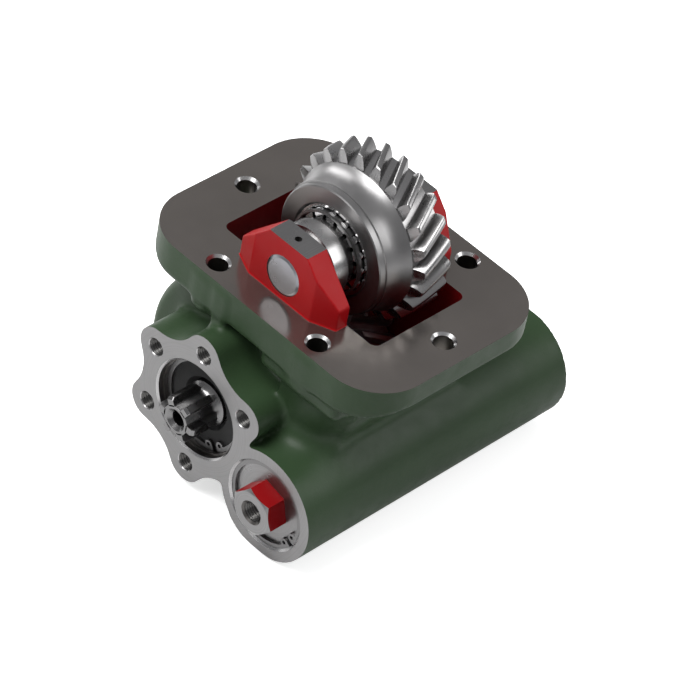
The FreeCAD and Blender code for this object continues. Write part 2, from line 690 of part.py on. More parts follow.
def mounting_holes():
    """Six clearance holes with a chamfer at the machined face."""
    tools = []
    spots = [("Sizes.end_bolt_reach", "0"), ("-Sizes.end_bolt_reach", "0")]
    for along in ("Sizes.side_bolt_reach", "-Sizes.side_bolt_reach"):
        for across in ("Sizes.side_bolt_offset", "-Sizes.side_bolt_offset"):
            spots.append((along, across))
    for along, across in spots:
        hole = doc.addObject("Part::Cylinder", "mounting_hole")
        hole.setExpression("Radius", "Sizes.bolt_radius")
        hole.setExpression("Height", "Sizes.flange_thick + Sizes.pad_depth + 2")
        place(hole, along, across, "-Sizes.flange_thick - Sizes.pad_depth - 1")
        mouth = doc.addObject("Part::Cone", "mounting_hole_mouth")
        mouth.setExpression("Radius1", "Sizes.bolt_radius")
        mouth.setExpression("Radius2", "Sizes.bolt_radius + 2 * Sizes.bolt_chamfer")
        mouth.setExpression("Height", "2 * Sizes.bolt_chamfer")
        place(mouth, along, across, "-Sizes.bolt_chamfer")
        tools += [hole, mouth]
    return tools


def star_taps():
    """Five tapped holes in the output flange; the place of the sixth holds the shift cylinder."""
    depth = size("tap_depth")
    core = size("tap_radius")
    chamfer = size("tap_chamfer")
    hole = Part.makeCylinder(core, depth, Vector(), Vector(0, 1, 0))
    tip = Part.makeCone(core, 0, core * 0.6, Vector(0, depth, 0), Vector(0, 1, 0))
    mouth = Part.makeCone(core + 2 * chamfer, core, 2 * chamfer, Vector(0, -chamfer, 0), Vector(0, 1, 0))
    drill = hole.fuse([tip, mouth])
    drill.translate(Vector(size("star_bolt_reach"), 0, 0))
    drills = around(drill, 6, size("star_first_angle"))[:5]
    tools = shaped("output_flange_taps", Part.makeCompound(drills))
    on_axis(tools, output_axis, star)
    return tools


def cover_taps():
    """Tapped holes for the rear cover."""
    depth = size("cover_screw_length") - size("cover_thick") + 3
    hole = Part.makeCylinder(size("cover_screw_radius") + size("fit_gap"), depth, Vector(), Vector(0, -1, 0))
    hole.translate(Vector(size("cover_bolt_reach"), 0, 0))
    tools = shaped("cover_taps", Part.makeCompound(around(hole, size("cover_bolt_count"), size("cover_first_bolt"))))
    on_axis(tools, output_axis, "Sizes.cover_boss")
    return tools


def make_housing():
    """The whole casting, then its machining."""
    rear_boss = cylinder(
        "rear_boss", output_axis, "Sizes.cover_radius", drum_inside_rear, "Sizes.cover_boss - (%s)" % drum_inside_rear
    )
    outside = [flange_plate(), neck_block(), drum(), shift_tube(), output_flange(), thick_front(), bolt_bosses()]
    outside += case_blocks() + [rear_boss, ear("front_ear", True), ear("rear_ear", False)]
    rough = joined("casting", outside)
    ground = "shift_axis.Z / 1mm - Sizes.tube_radius"
    foot = block(
        "foot_plane",
        ("output_axis.X / 1mm - Sizes.drum_radius - 1", "Sizes.drum_front - 1", ground + " - Sizes.drum_radius"),
        ("shift_axis.X / 1mm", "Sizes.drum_rear + 1", ground),
    )
    inside_length = "(%s) - (%s)" % (drum_inside_rear, drum_inside_front)
    cavity = cylinder(
        "gear_cavity", output_axis, "Sizes.cavity_radius", drum_inside_front, inside_length
    )
    side_cavity = cylinder("shift_cavity", shift_axis, "Sizes.cylinder_radius", drum_inside_front, inside_length)
    hollow = taken_away("hollow_casting", rough, [foot, cavity, side_cavity, gear_opening()])
    guides = [
        cylinder("front_guide", shift_axis, "Sizes.guide_radius", drum_inside_front + " - 1", "Sizes.guide_length + 1"),
        cylinder(
            "rear_guide",
            shift_axis,
            "Sizes.guide_radius",
            drum_inside_rear + " - Sizes.guide_length",
            "Sizes.guide_length + 1",
        ),
    ]
    solid = joined("casting_with_guides", [hollow] + guides)
    ring_room = "(Sizes.ring_width + 2 * Sizes.side_gap)"
    tools = mounting_holes() + [star_taps(), cover_taps()]
    tools += [
        # output flange: pilot, ring groove, seal and bearing bores
        cylinder("pilot_bore", output_axis, "Sizes.pilot_radius", star + " - 1", "Sizes.pilot_depth + 1"),
        cone(
            "pilot_mouth",
            output_axis,
            "Sizes.pilot_radius + 2",
            "Sizes.pilot_radius",
            star + " - 1",
            "2mm",
        ),
        cylinder(
            "seal_bore",
            output_axis,
            "Sizes.bearing_radius + Sizes.fit_gap",
            star + " - 1",
            "(%s + Sizes.bearing_width + Sizes.side_gap) - (%s - 1)" % (front_bearing, star),
        ),
        cylinder("front_shaft_way", output_axis, "Sizes.bearing_outer", star, "(%s + 1) - (%s)" % (drum_inside_front, star)),
        cylinder(
            "seal_ring_groove",
            output_axis,
            "Sizes.bearing_radius + Sizes.ring_depth",
            "%s - %s" % (seal_start, ring_room),
            ring_room,
        ),
        cylinder(
            "rear_bearing_bore",
            output_axis,
            "Sizes.bearing_radius + Sizes.fit_gap",
            drum_inside_rear + " - 1",
            "Sizes.cover_boss + 2 - (%s)" % drum_inside_rear,
        ),
        # shift cylinder: bore, mouth, ring groove, rod way, spring chamber and plug seat
        cylinder(
            "cylinder_bore", shift_axis, "Sizes.cylinder_radius", star + " - 1", "Sizes.drum_front - (%s) + 1" % star
        ),
        cone(
            "cylinder_mouth",
            shift_axis,
            "Sizes.cylinder_radius + 2 * Sizes.cylinder_chamfer",
            "Sizes.cylinder_radius",
            star + " - Sizes.cylinder_chamfer",
            "2 * Sizes.cylinder_chamfer",
        ),
        cylinder(
            "cylinder_ring_groove",
            shift_axis,
            "Sizes.cylinder_radius + Sizes.ring_depth",
            "%s - %s" % (cap_face, ring_room),
            ring_room,
        ),
        cylinder(
            "rod_way",
            shift_axis,
            "Sizes.rod_radius + Sizes.fit_gap",
            "Sizes.drum_front - 1",
            "Sizes.drum_rear - Sizes.drum_front + 2",
        ),
        cylinder("spring_chamber", shift_axis, "Sizes.chamber_radius", "Sizes.drum_rear", "Sizes.tube_rear - Sizes.drum_rear"),
        cylinder(
            "plug_seat", shift_axis, "Sizes.plug_radius + Sizes.fit_gap", plug_start, "Sizes.tube_rear + 1 - (%s)" % plug_start
        ),
        # groove of the rod seal in the front guide
        cylinder(
            "rod_seal_groove",
            shift_axis,
            "Sizes.rod_radius + 2 * Sizes.seal_cord",
            drum_inside_front,
            "2 * Sizes.seal_cord + Sizes.side_gap",
        ),
        # idler pin and its roll pin
        cylinder(
            "pin_bore",
            idler_axis,
            "Sizes.pin_radius + Sizes.fit_gap",
            "-Sizes.opening_width / 2 - Sizes.ear_thick - 1",
            "Sizes.opening_width + 2 * Sizes.ear_thick + 2",
        ),
        lock_hole("ear_lock_hole", "Sizes.lock_radius + Sizes.fit_gap"),
    ]
    return taken_away("housing", solid, tools)


def lock_hole(name, radius):
    """The hole of the roll pin, from the top of the front ear into the idler pin."""
    hole = doc.addObject("Part::Cylinder", name)
    hole.setExpression("Radius", radius)
    bottom = "idler_axis.Z + (Sizes.pin_radius - Sizes.lock_bite) * 1mm"
    hole.setExpression("Height", "Sizes.ear_height * 1mm + 1mm - (%s)" % bottom)
    place(hole, "0mm", "-(Sizes.opening_width + Sizes.ear_thick) / 2", bottom)
    return hole


# Idler: pin, roll pin, gear and its two tapered roller bearings

def make_pin():
    """The idler pin through both ears, locked by a roll pin."""
    length = "Sizes.opening_width + 2 * Sizes.ear_thick + 2 * Sizes.pin_proud"
    edge, small = "Sizes.pin_chamfer", "Sizes.pin_radius - Sizes.pin_chamfer"
    corners = [
        ("0", "0"),
        (small, "0"),
        ("Sizes.pin_radius", "0.5 * " + edge),
        ("Sizes.pin_radius", "%s - 0.5 * %s" % (length, edge)),
        (small, length),
        ("0", length),
    ]
    bar = turned("idler_pin_bar", idler_axis, "-(%s) / 2" % length, corners)
    pin = taken_away("idler_pin", bar, [lock_hole("pin_lock_hole", "Sizes.lock_radius + Sizes.fit_gap")])
    bottom = "idler_axis.Z + (Sizes.pin_radius - Sizes.lock_bite) * 1mm + Sizes.side_gap * 1mm"
    bars = []
    for part_name, radius in (("wall", "Sizes.lock_radius"), ("core", "Sizes.lock_radius / 2")):
        bar = doc.addObject("Part::Cylinder", "idler_lock_pin_" + part_name)
        bar.setExpression("Radius", radius)
        bar.setExpression("Height", "Sizes.lock_length")
        place(bar, "0mm", "-(Sizes.opening_width + Sizes.ear_thick) / 2", bottom)
        bars.append(bar)
    return [pin, taken_away("idler_lock_pin", bars[0], bars[1:])]


def involute(angle):
    """Involute function of an angle in radians."""
    return math.tan(angle) - angle


def gear_teeth(name, axis, teeth, phase, hand, flank_steps, spans):
    """A toothed helical ring: the same outline, turned a little more at each section."""
    helix = math.radians(size("helix_angle"))
    module = size("normal_module")
    pitch = teeth * module / math.cos(helix) / 2
    tip, root = pitch + module, pitch - 1.25 * module
    slant = math.atan(math.tan(math.radians(size("pressure_angle"))) / math.cos(helix))
    base = pitch * math.cos(slant)
    half_tooth = (math.pi * pitch / teeth - size("tooth_thinning")) / 2 / pitch
    low = max(root, base)
    flank = []
    for step in range(flank_steps + 1):
        radius = low + (tip - low) * step / flank_steps
        lean = math.acos(min(1.0, base / radius))
        flank.append((radius, half_tooth + involute(slant) - involute(lean)))
    if root < base:
        flank.insert(0, (root, flank[0][1]))
    width = size("tooth_width")
    twist = math.degrees(math.tan(helix) / pitch) * hand
    wires = []
    for section in range(spans + 1):
        depth = width * section / spans
        corners = []
        for tooth in range(teeth):
            middle = phase + tooth * 360.0 / teeth + twist * (depth - width)
            for radius, spread in flank:
                corners.append(polar(radius, middle - math.degrees(spread), depth))
            for radius, spread in reversed(flank):
                corners.append(polar(radius, middle + math.degrees(spread), depth))
        wires.append(Part.makePolygon(corners + corners[:1]))
    ring = shaped(name, Part.makeLoft(wires, True, True))
    on_axis(ring, axis, "Sizes.tooth_start")
    return ring


def make_idler_gear():
    """The idler gear: left-hand teeth, a plain hub in front and a short one behind."""
    teeth = gear_teeth("idler_teeth_ring", idler_axis, int(size("idler_teeth")), size("tooth_phase"), 1, 4, 6)
    front = "Sizes.hub_front"
    back = "Sizes.hub_front + Sizes.tooth_width"
    ring, root = "Sizes.hub_radius", "Sizes.hub_root_radius"
    corners = [
        ("0", "0"),
        (ring + " - 1.2", "0"),
        (ring, "1.2"),
        (ring, "Sizes.hub_step"),
        (ring + " + 1.1", "Sizes.hub_step + 1.1"),
        (ring + " + 1.3", front + " - 6"),
        ("(%s + %s) / 2 + 1" % (ring, root), front + " - 2.4"),
        (root, front),
        (root, back),
        (ring, back + " + 2"),
        (ring, back + " + Sizes.hub_rear - 1.2"),
        (ring + " - 1.2", back + " + Sizes.hub_rear"),
        ("0", back + " + Sizes.hub_rear"),
    ]
    hub = turned("idler_hub", idler_axis, "Sizes.tooth_start - Sizes.hub_front", corners)
    whole = "Sizes.hub_front + Sizes.tooth_width + Sizes.hub_rear"
    start = "Sizes.tooth_start - Sizes.hub_front"
    cup_depth = "Sizes.cup_recess + Sizes.cup_width + Sizes.fit_gap"
    rear_depth = "%s + %s" % (cup_depth, rear_sink)
    cup_bore = "Sizes.cup_radius + Sizes.fit_gap"
    bores = [
        cylinder("idler_bore", idler_axis, "Sizes.bore_rib_radius", start + " - 1", whole + " + 2"),
        cylinder("front_cup_bore", idler_axis, cup_bore, start + " - 1", cup_depth + " + 1"),
        cylinder("rear_cup_bore", idler_axis, cup_bore, "%s + %s - (%s)" % (start, whole, rear_depth), rear_depth + " + 1"),
        cone("idler_bore_mouth", idler_axis, "Sizes.cup_radius + 1.5", "Sizes.cup_radius", start + " - 0.5", "2mm"),
    ]
    return taken_away("idler_gear", joined("idler_blank", [teeth, hub]), bores)


def roller_line(depth, hand=0):
    """Distance from the pin of the roller axis, or of the outer (1) or inner (-1) race, at a depth.

    The depth is counted from the plane through the inner edge of the rollers' outer ends.
    """
    tilt = math.radians(size("roller_tilt"))
    large, small, length = size("roller_large"), size("roller_small"), size("roller_length")
    first = Vector(size("roller_reach") + hand * large * math.cos(tilt), (1 + hand) * large * math.sin(tilt), 0)
    step = Vector(-length * math.sin(tilt), length * math.cos(tilt), 0)
    step += Vector(math.cos(tilt), math.sin(tilt), 0) * (hand * (small - large))
    slope = step.x / step.y
    return first.x + slope * (depth - first.y) + hand * size("race_gap") * math.hypot(1, slope)


def bearing_pieces(side):
    """Cup, cone, cage, rollers and washer of one end; built for the front, turned for the rear."""
    tilt = math.radians(size("roller_tilt"))
    run = size("roller_length") * math.cos(tilt)
    large, small, gap = size("roller_large"), size("roller_small"), size("race_gap")
    cup_start = size("cup_recess")
    if side == "rear":
        cup_start += worked_out(rear_sink)
    roller_start = cup_start - size("roller_overhang")

    def ring(points):
        corners = [Vector(radius, station, 0) for radius, station in points]
        face = Part.Face(Part.makePolygon(corners + corners[:1]))
        return face.revolve(Vector(), Vector(0, 1, 0), 360)

    cup_end = cup_start + size("cup_width")
    race_front = cup_start - roller_start
    race_back = cup_end - roller_start
    cup = ring(
        [
            (size("cup_radius"), cup_start),
            (size("cup_radius"), cup_end),
            (roller_line(race_back, 1), cup_end),
            (roller_line(race_front, 1), cup_start),
        ]
    )
    bore = size("pin_radius") + size("fit_gap")
    rib_back = roller_start - gap
    rib_front = rib_back - size("cone_rib_width")
    cone_end = roller_start + run + 2.2
    inner_front = roller_line(0, -1)
    inner_back = roller_line(run, -1)
    cone_ring = ring(
        [
            (bore, rib_front),
            (size("cone_rib_radius") - 0.8, rib_front),
            (size("cone_rib_radius"), rib_front + 0.8),
            (size("cone_rib_radius"), rib_back),
            (inner_front - 0.6, rib_back),
            (inner_front - 0.6, roller_start),
            (inner_front, roller_start + 0.2),
            (inner_back, roller_start + run),
            (inner_back, roller_start + run + 0.4),
            (inner_back + 0.7, roller_start + run + 0.6),
            (inner_back + 0.7, cone_end),
            (bore, cone_end),
        ]
    )
    roller = Part.makeCone(large, small, size("roller_length"), Vector(), Vector(0, 1, 0))
    pocket = Part.makeCone(large + gap, small + gap, size("roller_length") + 2 * gap, Vector(0, -gap, 0), Vector(0, 1, 0))
    for solid in (roller, pocket):
        solid.rotate(Vector(), Vector(0, 0, 1), size("roller_tilt"))
        solid.translate(Vector(size("roller_reach"), roller_start + large * math.sin(tilt), 0))
    count = size("roller_count")
    rollers = Part.makeCompound(around(roller, count, 6))
    wall = size("cage_wall")
    lift = 0.9
    cage_front = roller_start - 0.9
    cage_back = roller_start + run + 1.8
    cage = ring(
        [
            (roller_line(-0.9) + lift, cage_front),
            (roller_line(-0.9) + lift + wall, cage_front),
            (roller_line(run + 1.8) + lift + wall, cage_back),
            (roller_line(run + 1.8) + lift, cage_back),
        ]
    )
    cage = cage.cut(Part.makeCompound(around(pocket, count, 6)))
    # washer from the ear to the cone
    room = size("opening_width") / 2 + size("tooth_start") - size("hub_front")
    if side == "rear":
        rear_face = size("tooth_start") + size("tooth_width") + size("hub_rear")
        room = size("opening_width") / 2 - rear_face
    outer_face = -room + size("side_gap")
    inner_face = rib_front - size("side_gap")
    step = min(size("washer_step"), (inner_face - outer_face) / 2)
    washer = ring(
        [
            (bore, outer_face),
            (size("washer_step_radius"), outer_face),
            (size("washer_step_radius"), outer_face + step),
            (size("washer_radius"), outer_face + step),
            (size("washer_radius"), inner_face - 0.6),
            (size("washer_radius") - 0.6, inner_face),
            (bore, inner_face),
        ]
    )
    shapes = {
        "%s_bearing_cup": cup,
        "%s_bearing_cone": cone_ring,
        "%s_roller_cage": cage,
        "%s_tapered_rollers": rollers,
        "%s_thrust_washer": washer,
    }
    pieces = []
    for name, shape in shapes.items():
        station = "Sizes.tooth_start - Sizes.hub_front"
        if side == "rear":
            shape = shape.mirror(Vector(), Vector(0, 1, 0))
            station = "Sizes.tooth_start + Sizes.tooth_width + Sizes.hub_rear"
        piece = shaped(name % side, shape)
        on_axis(piece, idler_axis, station)
        pieces.append(piece)
    return pieces


def make_cone_spacer():
    """The tube on the pin that keeps the two cones apart."""
    tilt = math.radians(size("roller_tilt"))
    reach = size("cup_recess") - size("roller_overhang") + size("roller_length") * math.cos(tilt) + 2.2
    reach += size("side_gap")
    whole = size("hub_front") + size("tooth_width") + size("hub_rear")
    inner = "Sizes.pin_radius + Sizes.fit_gap"
    start = "Sizes.tooth_start - Sizes.hub_front + %.6f" % reach
    return flat_ring("cone_spacer", idler_axis, inner, inner + " + 2.6", start, "%.6f" % (whole - 2 * reach - worked_out(rear_sink)))


# Output side: shaft, gear, clutch sleeve and ball bearings

def spline_bars(name, count, tooth, major, start, length, first):
    """The teeth of a straight-sided spline, as far out as its major radius."""
    bar = Part.makeBox(major + 1, length, tooth, Vector(0, 0, -tooth / 2))
    limit = Part.makeCylinder(major, length, Vector(), Vector(0, 1, 0))
    bars = around(bar, count, first)
    teeth = shaped(name, bars[0].fuse(bars[1:]).common(limit))
    on_axis(teeth, output_axis, start)
    return teeth


def make_shaft():
    """The output shaft: outer spline, bearing seats, sleeve spline and gear journal."""
    front = "%s - Sizes.shaft_proud" % star
    def from_front(station):
        return "(%s) - (%s)" % (station, front)
    outer_end = from_front("%s - Sizes.ring_width - 4 * Sizes.side_gap" % seal_start)
    seat_end = from_front("%s + Sizes.bearing_width" % front_bearing)
    drive_start = from_front(drum_inside_front)
    drive_end = from_front(gear_washer_front)
    rear_seat = from_front(rear_bearing)
    rear_end = from_front("%s + Sizes.bearing_width + 1" % rear_bearing)
    seat, minor = "Sizes.shaft_radius", "Sizes.spline_minor"
    corners = [
        ("0", "0"),
        (minor + " - 1", "0"),
        (minor, "1"),
        (minor, outer_end + " - 3"),
        (seat, outer_end),
        (seat, seat_end),
        ("Sizes.drive_minor", seat_end),
        ("Sizes.drive_minor", drive_end),
        ("Sizes.journal_radius", drive_end),
        ("Sizes.journal_radius", rear_seat),
        (seat, rear_seat),
        (seat, rear_end + " - 1"),
        (seat + " - 1", rear_end),
        ("0", rear_end),
    ]
    bar = turned("output_shaft_bar", output_axis, front, corners)
    reach = size("drum_front") + size("drum_wall") - size("bearing_stop") - size("bearing_width")
    reach -= size("seal_width") + 5 * size("side_gap") + size("ring_width")
    outer_length = reach - size("star_face") + size("shaft_proud")
    teeth = spline_bars(
        "output_spline", size("spline_teeth"), size("spline_tooth"), size("shaft_radius"), front, outer_length, 0
    )
    drive_from = size("drum_front") + size("drum_wall")
    drive_to = size("tooth_start") - size("gear_washer_thick") - 2 * size("side_gap")
    drive = spline_bars(
        "sleeve_spline",
        size("drive_teeth"),
        size("spline_tooth"),
        size("drive_major"),
        drum_inside_front,
        drive_to - drive_from,
        0,
    )
    # front end: chamfered spline ends and the threaded centre hole
    bevel = Part.makeCylinder(size("shaft_radius") + 2, 1.5, Vector(), Vector(0, 1, 0))
    bevel = bevel.cut(Part.makeCone(size("shaft_radius") - 1.5, size("shaft_radius"), 1.5, Vector(), Vector(0, 1, 0)))
    mouth_depth = size("shaft_tap_mouth") - size("shaft_tap_radius")
    hole = Part.makeCylinder(size("shaft_tap_radius"), size("shaft_tap_depth"), Vector(), Vector(0, 1, 0))
    mouth = Part.makeCone(size("shaft_tap_mouth"), size("shaft_tap_radius"), mouth_depth, Vector(), Vector(0, 1, 0))
    bevel_tool = shaped("output_spline_bevel", bevel)
    hole_tool = shaped("output_shaft_tap", hole.fuse(mouth))
    for tool in (bevel_tool, hole_tool):
        on_axis(tool, output_axis, front)
    return taken_away("output_shaft", joined("output_shaft_blank", [bar, teeth, drive]), [bevel_tool, hole_tool])


def dogs(length, first):
    """Clutch dogs: ring sectors with gaps a little wider than the teeth."""
    outer = Part.makeCylinder(size("dog_outer"), length, Vector(), Vector(0, 1, 0))
    ring = outer.cut(Part.makeCylinder(size("dog_inner"), length, Vector(), Vector(0, 1, 0)))
    half = size("dog_angle") / 2
    far = size("dog_outer") * 2
    corners = [Vector(), polar(far, -half), polar(far, half)]
    sector = Part.Face(Part.makePolygon(corners + corners[:1])).extrude(Vector(0, length, 0))
    return [ring.common(copy) for copy in around(sector, size("dog_count"), first)]


def make_output_gear():
    """The constant-mesh output gear, with clutch dogs on its front face, and its bush."""
    teeth_here, teeth_there = int(size("output_teeth")), int(size("idler_teeth"))
    line = math.degrees(math.atan2(output_axis.Z.Value - idler_axis.Z.Value, output_axis.X.Value))
    phase = line + 180 - teeth_there / teeth_here * (size("tooth_phase") - line) + 180.0 / teeth_here
    ring = gear_teeth("output_teeth_ring", output_axis, teeth_here, phase, -1, 3, 5)
    hub = cylinder(
        "output_gear_hub",
        output_axis,
        "Sizes.gear_hub_radius",
        "Sizes.tooth_start + Sizes.tooth_width / 2",
        "Sizes.tooth_width / 2 + Sizes.gear_hub_rear",
    )
    length = size("gear_dog_length") + 1
    teeth = shaped("output_gear_dogs", Part.makeCompound(dogs(length, 0)))
    on_axis(teeth, output_axis, gear_dog_front)
    bore = "Sizes.journal_radius + Sizes.fit_gap + Sizes.bush_wall"
    way = cylinder(
        "output_gear_bore", output_axis, bore, "Sizes.tooth_start - 1", "Sizes.tooth_width + Sizes.gear_hub_rear + 2"
    )
    gear = taken_away("output_gear", joined("output_gear_blank", [ring, hub, teeth]), [way])
    inner = "Sizes.journal_radius + Sizes.fit_gap"
    length = "Sizes.tooth_width + Sizes.gear_hub_rear"
    return [gear, flat_ring("output_gear_bush", output_axis, inner, bore, "Sizes.tooth_start", length)]


def make_sleeve():
    """The clutch sleeve: splined bore, fork groove and dogs towards the gear."""
    outer, groove = "Sizes.sleeve_radius", "Sizes.groove_radius"
    inner = "Sizes.drive_minor + Sizes.race_gap"
    start, end = "Sizes.groove_start", "Sizes.groove_start + Sizes.groove_width"
    corners = [
        (inner, "0"),
        (outer, "0"),
        (outer, start),
        (groove, start),
        (groove, end),
        (outer, end),
        ("Sizes.dog_outer", end + " + 2"),
        ("Sizes.dog_outer", "Sizes.sleeve_length"),
        (inner, "Sizes.sleeve_length"),
    ]
    ring = turned("clutch_sleeve_ring", output_axis, sleeve_front, corners)
    teeth = shaped("clutch_sleeve_dogs", Part.makeCompound(dogs(size("sleeve_dog_length") + 1, 180.0 / size("dog_count"))))
    on_axis(teeth, output_axis, "%s + Sizes.sleeve_length - 1" % sleeve_front)
    slots = spline_bars(
        "clutch_sleeve_slots",
        size("drive_teeth"),
        size("spline_tooth") + 2 * size("race_gap"),
        size("drive_major") + size("race_gap"),
        sleeve_front,
        size("sleeve_length"),
        0,
    )
    return taken_away("clutch_sleeve", joined("clutch_sleeve_blank", [ring, teeth]), [slots])


def ball_bearing(side, start):
    """Outer ring, inner ring, balls and cage of one deep-groove ball bearing."""
    middle = "%s + Sizes.bearing_width / 2" % start
    reach = "(Sizes.bearing_inner + Sizes.bearing_outer) / 2"
    pieces = []
    rings = {
        "%s_bearing_outer_ring": ("Sizes.bearing_outer", "Sizes.bearing_radius"),
        "%s_bearing_inner_ring": ("Sizes.shaft_radius + Sizes.fit_gap", "Sizes.bearing_inner"),
    }
    for name, (inner, outer) in rings.items():
        blank = flat_ring(name % side + "_blank", output_axis, inner, outer, start, "Sizes.bearing_width")
        race = doc.addObject("Part::Torus", name % side + "_race")
        race.setExpression("Radius1", reach)
        race.setExpression("Radius2", "Sizes.ball_radius + Sizes.race_gap")
        race.Placement = FreeCAD.Placement(Vector(), FreeCAD.Rotation(Vector(1, 0, 0), -90))
        on_axis(race, output_axis, middle)
        pieces.append(taken_away(name % side, blank, [race]))
    distance = (size("bearing_inner") + size("bearing_outer")) / 2
    count = size("ball_count")
    ball = Part.makeSphere(size("ball_radius"), Vector(distance, 0, 0))
    pocket = Part.makeCylinder(size("ball_radius") + size("race_gap"), 10, Vector(distance - 5, 0, 0), Vector(1, 0, 0))
    half_height, half_width = 5.2, 1.3
    band = Part.makeCylinder(distance + half_width, 2 * half_height, Vector(0, -half_height, 0), Vector(0, 1, 0))
    band = band.cut(Part.makeCylinder(distance - half_width, 2 * half_height, Vector(0, -half_height, 0), Vector(0, 1, 0)))
    shapes = {
        "%s_bearing_balls": Part.makeCompound(around(ball, count, 10)),
        "%s_ball_cage": band.cut(Part.makeCompound(around(pocket, count, 10))),
    }
    for name, shape in shapes.items():
        piece = shaped(name % side, shape)
        on_axis(piece, output_axis, middle)
        pieces.append(piece)
    return pieces


def make_shaft_seal():
    """The lip seal in front of the ball bearing."""
    lip = "Sizes.shaft_radius + Sizes.fit_gap"
    wall = "Sizes.bearing_radius"
    deep = "Sizes.seal_width"
    corners = [
        (lip + " + 2.5", "0"),
        (wall, "0"),
        (wall, deep),
        (wall + " - 3", deep),
        (wall + " - 3", "2"),
        (lip + " + 4", "2"),
        (lip + " + 2", deep + " - 1.5"),
        (lip, deep + " - 3"),
    ]
    return turned("shaft_seal", output_axis, seal_start, corners)


def retaining_ring(name, axis, bore, station, angle):
    """An internal retaining ring: open at one place, with two lugs that have a hole each."""
    outer = bore + size("ring_depth") - 2 * size("side_gap")
    inner = bore - size("ring_wall") + size("ring_depth")
    thick = size("ring_width")
    ring = Part.makeCylinder(outer, thick, Vector(), Vector(0, 1, 0))
    ring = ring.cut(Part.makeCylinder(inner, thick, Vector(), Vector(0, 1, 0)))
    lug = Part.makeCylinder(2.6, thick, Vector(inner - 0.6, 0, 0), Vector(0, 1, 0))
    hole = Part.makeCylinder(1.1, thick, Vector(inner - 0.9, 0, 0), Vector(0, 1, 0))
    gap_corners = [Vector(), polar(2 * outer, -3.5), polar(2 * outer, 3.5)]
    gap = Part.Face(Part.makePolygon(gap_corners + gap_corners[:1])).extrude(Vector(0, thick, 0))
    for turn in (-10.5, 10.5):
        place_lug, place_hole = lug.copy(), hole.copy()
        for solid in (place_lug, place_hole):
            solid.rotate(Vector(), Vector(0, 1, 0), turn)
        ring = ring.fuse(place_lug).cut(place_hole)
    ring = ring.cut(gap)
    ring.rotate(Vector(), Vector(0, 1, 0), -angle)
    piece = shaped(name, ring.removeSplitter())
    on_axis(piece, axis, station)
    return piece


def hex_screws(name, count, radius, length, width, height, reach, station, axis, first):
    """Hexagon head screws round an axis, heads to the rear."""
    corner = width / math.sqrt(3)
    corners = [polar(corner, 60 * index) for index in range(6)]
    head = Part.Face(Part.makePolygon(corners + corners[:1])).extrude(Vector(0, height, 0))
    shank = Part.makeCylinder(radius, length, Vector(0, -length, 0), Vector(0, 1, 0))
    screw = head.fuse(shank)
    screw.translate(Vector(reach, 0, 0))
    piece = shaped(name, Part.makeCompound(around(screw, count, first)))
    on_axis(piece, axis, station)
    return piece


def make_rear_cover():
    """The cover of the rear bearing and its screws."""
    spigot = "Sizes.cover_boss - (%s) - Sizes.side_gap" % rear_bearing_end
    outer = "Sizes.cover_radius"
    inner = "Sizes.bearing_radius"
    corners = [
        ("0", spigot + " - 2"),
        (inner + " - 4", spigot + " - 2"),
        (inner + " - 4", "0"),
        (inner, "0"),
        (inner, spigot),
        (outer, spigot),
        (outer, spigot + " + Sizes.cover_thick - 1"),
        (outer + " - 1", spigot + " + Sizes.cover_thick"),
        ("0", spigot + " + Sizes.cover_thick"),
    ]
    plate = turned("rear_cover_plate", output_axis, "%s + Sizes.side_gap" % rear_bearing_end, corners)
    hole = Part.makeCylinder(
        size("cover_screw_radius") + 0.3, size("cover_thick") + 2, Vector(size("cover_bolt_reach"), -1, 0), Vector(0, 1, 0)
    )
    holes = shaped("rear_cover_holes", Part.makeCompound(around(hole, size("cover_bolt_count"), size("cover_first_bolt"))))
    on_axis(holes, output_axis, "Sizes.cover_boss")
    relief_radius = "Sizes.tube_radius + Sizes.cover_relief"
    relief = cylinder("rear_cover_relief", shift_axis, relief_radius, "Sizes.cover_boss - 1", "Sizes.cover_thick + 2")
    cover = taken_away("rear_cover", plate, [holes, relief])
    screws = hex_screws(
        "cover_screws",
        size("cover_bolt_count"),
        size("cover_screw_radius"),
        size("cover_screw_length"),
        size("screw_head_width"),
        size("screw_head_height"),
        size("cover_bolt_reach"),
        "Sizes.cover_boss + Sizes.cover_thick",
        output_axis,
        size("cover_first_bolt"),
    )
    return [cover, screws]


# Shift side: cap, piston, rod, fork, return spring and plug

def o_ring(name, axis, reach, middle):
    """A round-section rubber ring."""
    ring = doc.addObject("Part::Torus", name)
    ring.setExpression("Radius1", reach)
    ring.setExpression("Radius2", "Sizes.seal_cord")
    ring.Placement = FreeCAD.Placement(Vector(), FreeCAD.Rotation(Vector(1, 0, 0), -90))
    on_axis(ring, axis, middle)
    doc.recompute()
    return ring


def grooved(label, axis, station, width, front_radius):
    """A disc that fits the shift cylinder, with an O-ring groove in its rim."""
    wall = "Sizes.cylinder_radius - 3 * Sizes.fit_gap"
    deep = "Sizes.cylinder_radius - 2 * Sizes.seal_cord - 2 * Sizes.fit_gap"
    half = "(Sizes.seal_cord + Sizes.fit_gap)"
    middle = "(%s) / 2" % width
    corners = [
        ("0", "0"),
        (front_radius, "0"),
        (wall, "0.8"),
        (wall, "%s - %s" % (middle, half)),
        (deep, "%s - %s" % (middle, half)),
        (deep, "%s + %s" % (middle, half)),
        (wall, "%s + %s" % (middle, half)),
        (wall, width),
        ("0", width),
    ]
    return turned(label, axis, station, corners)


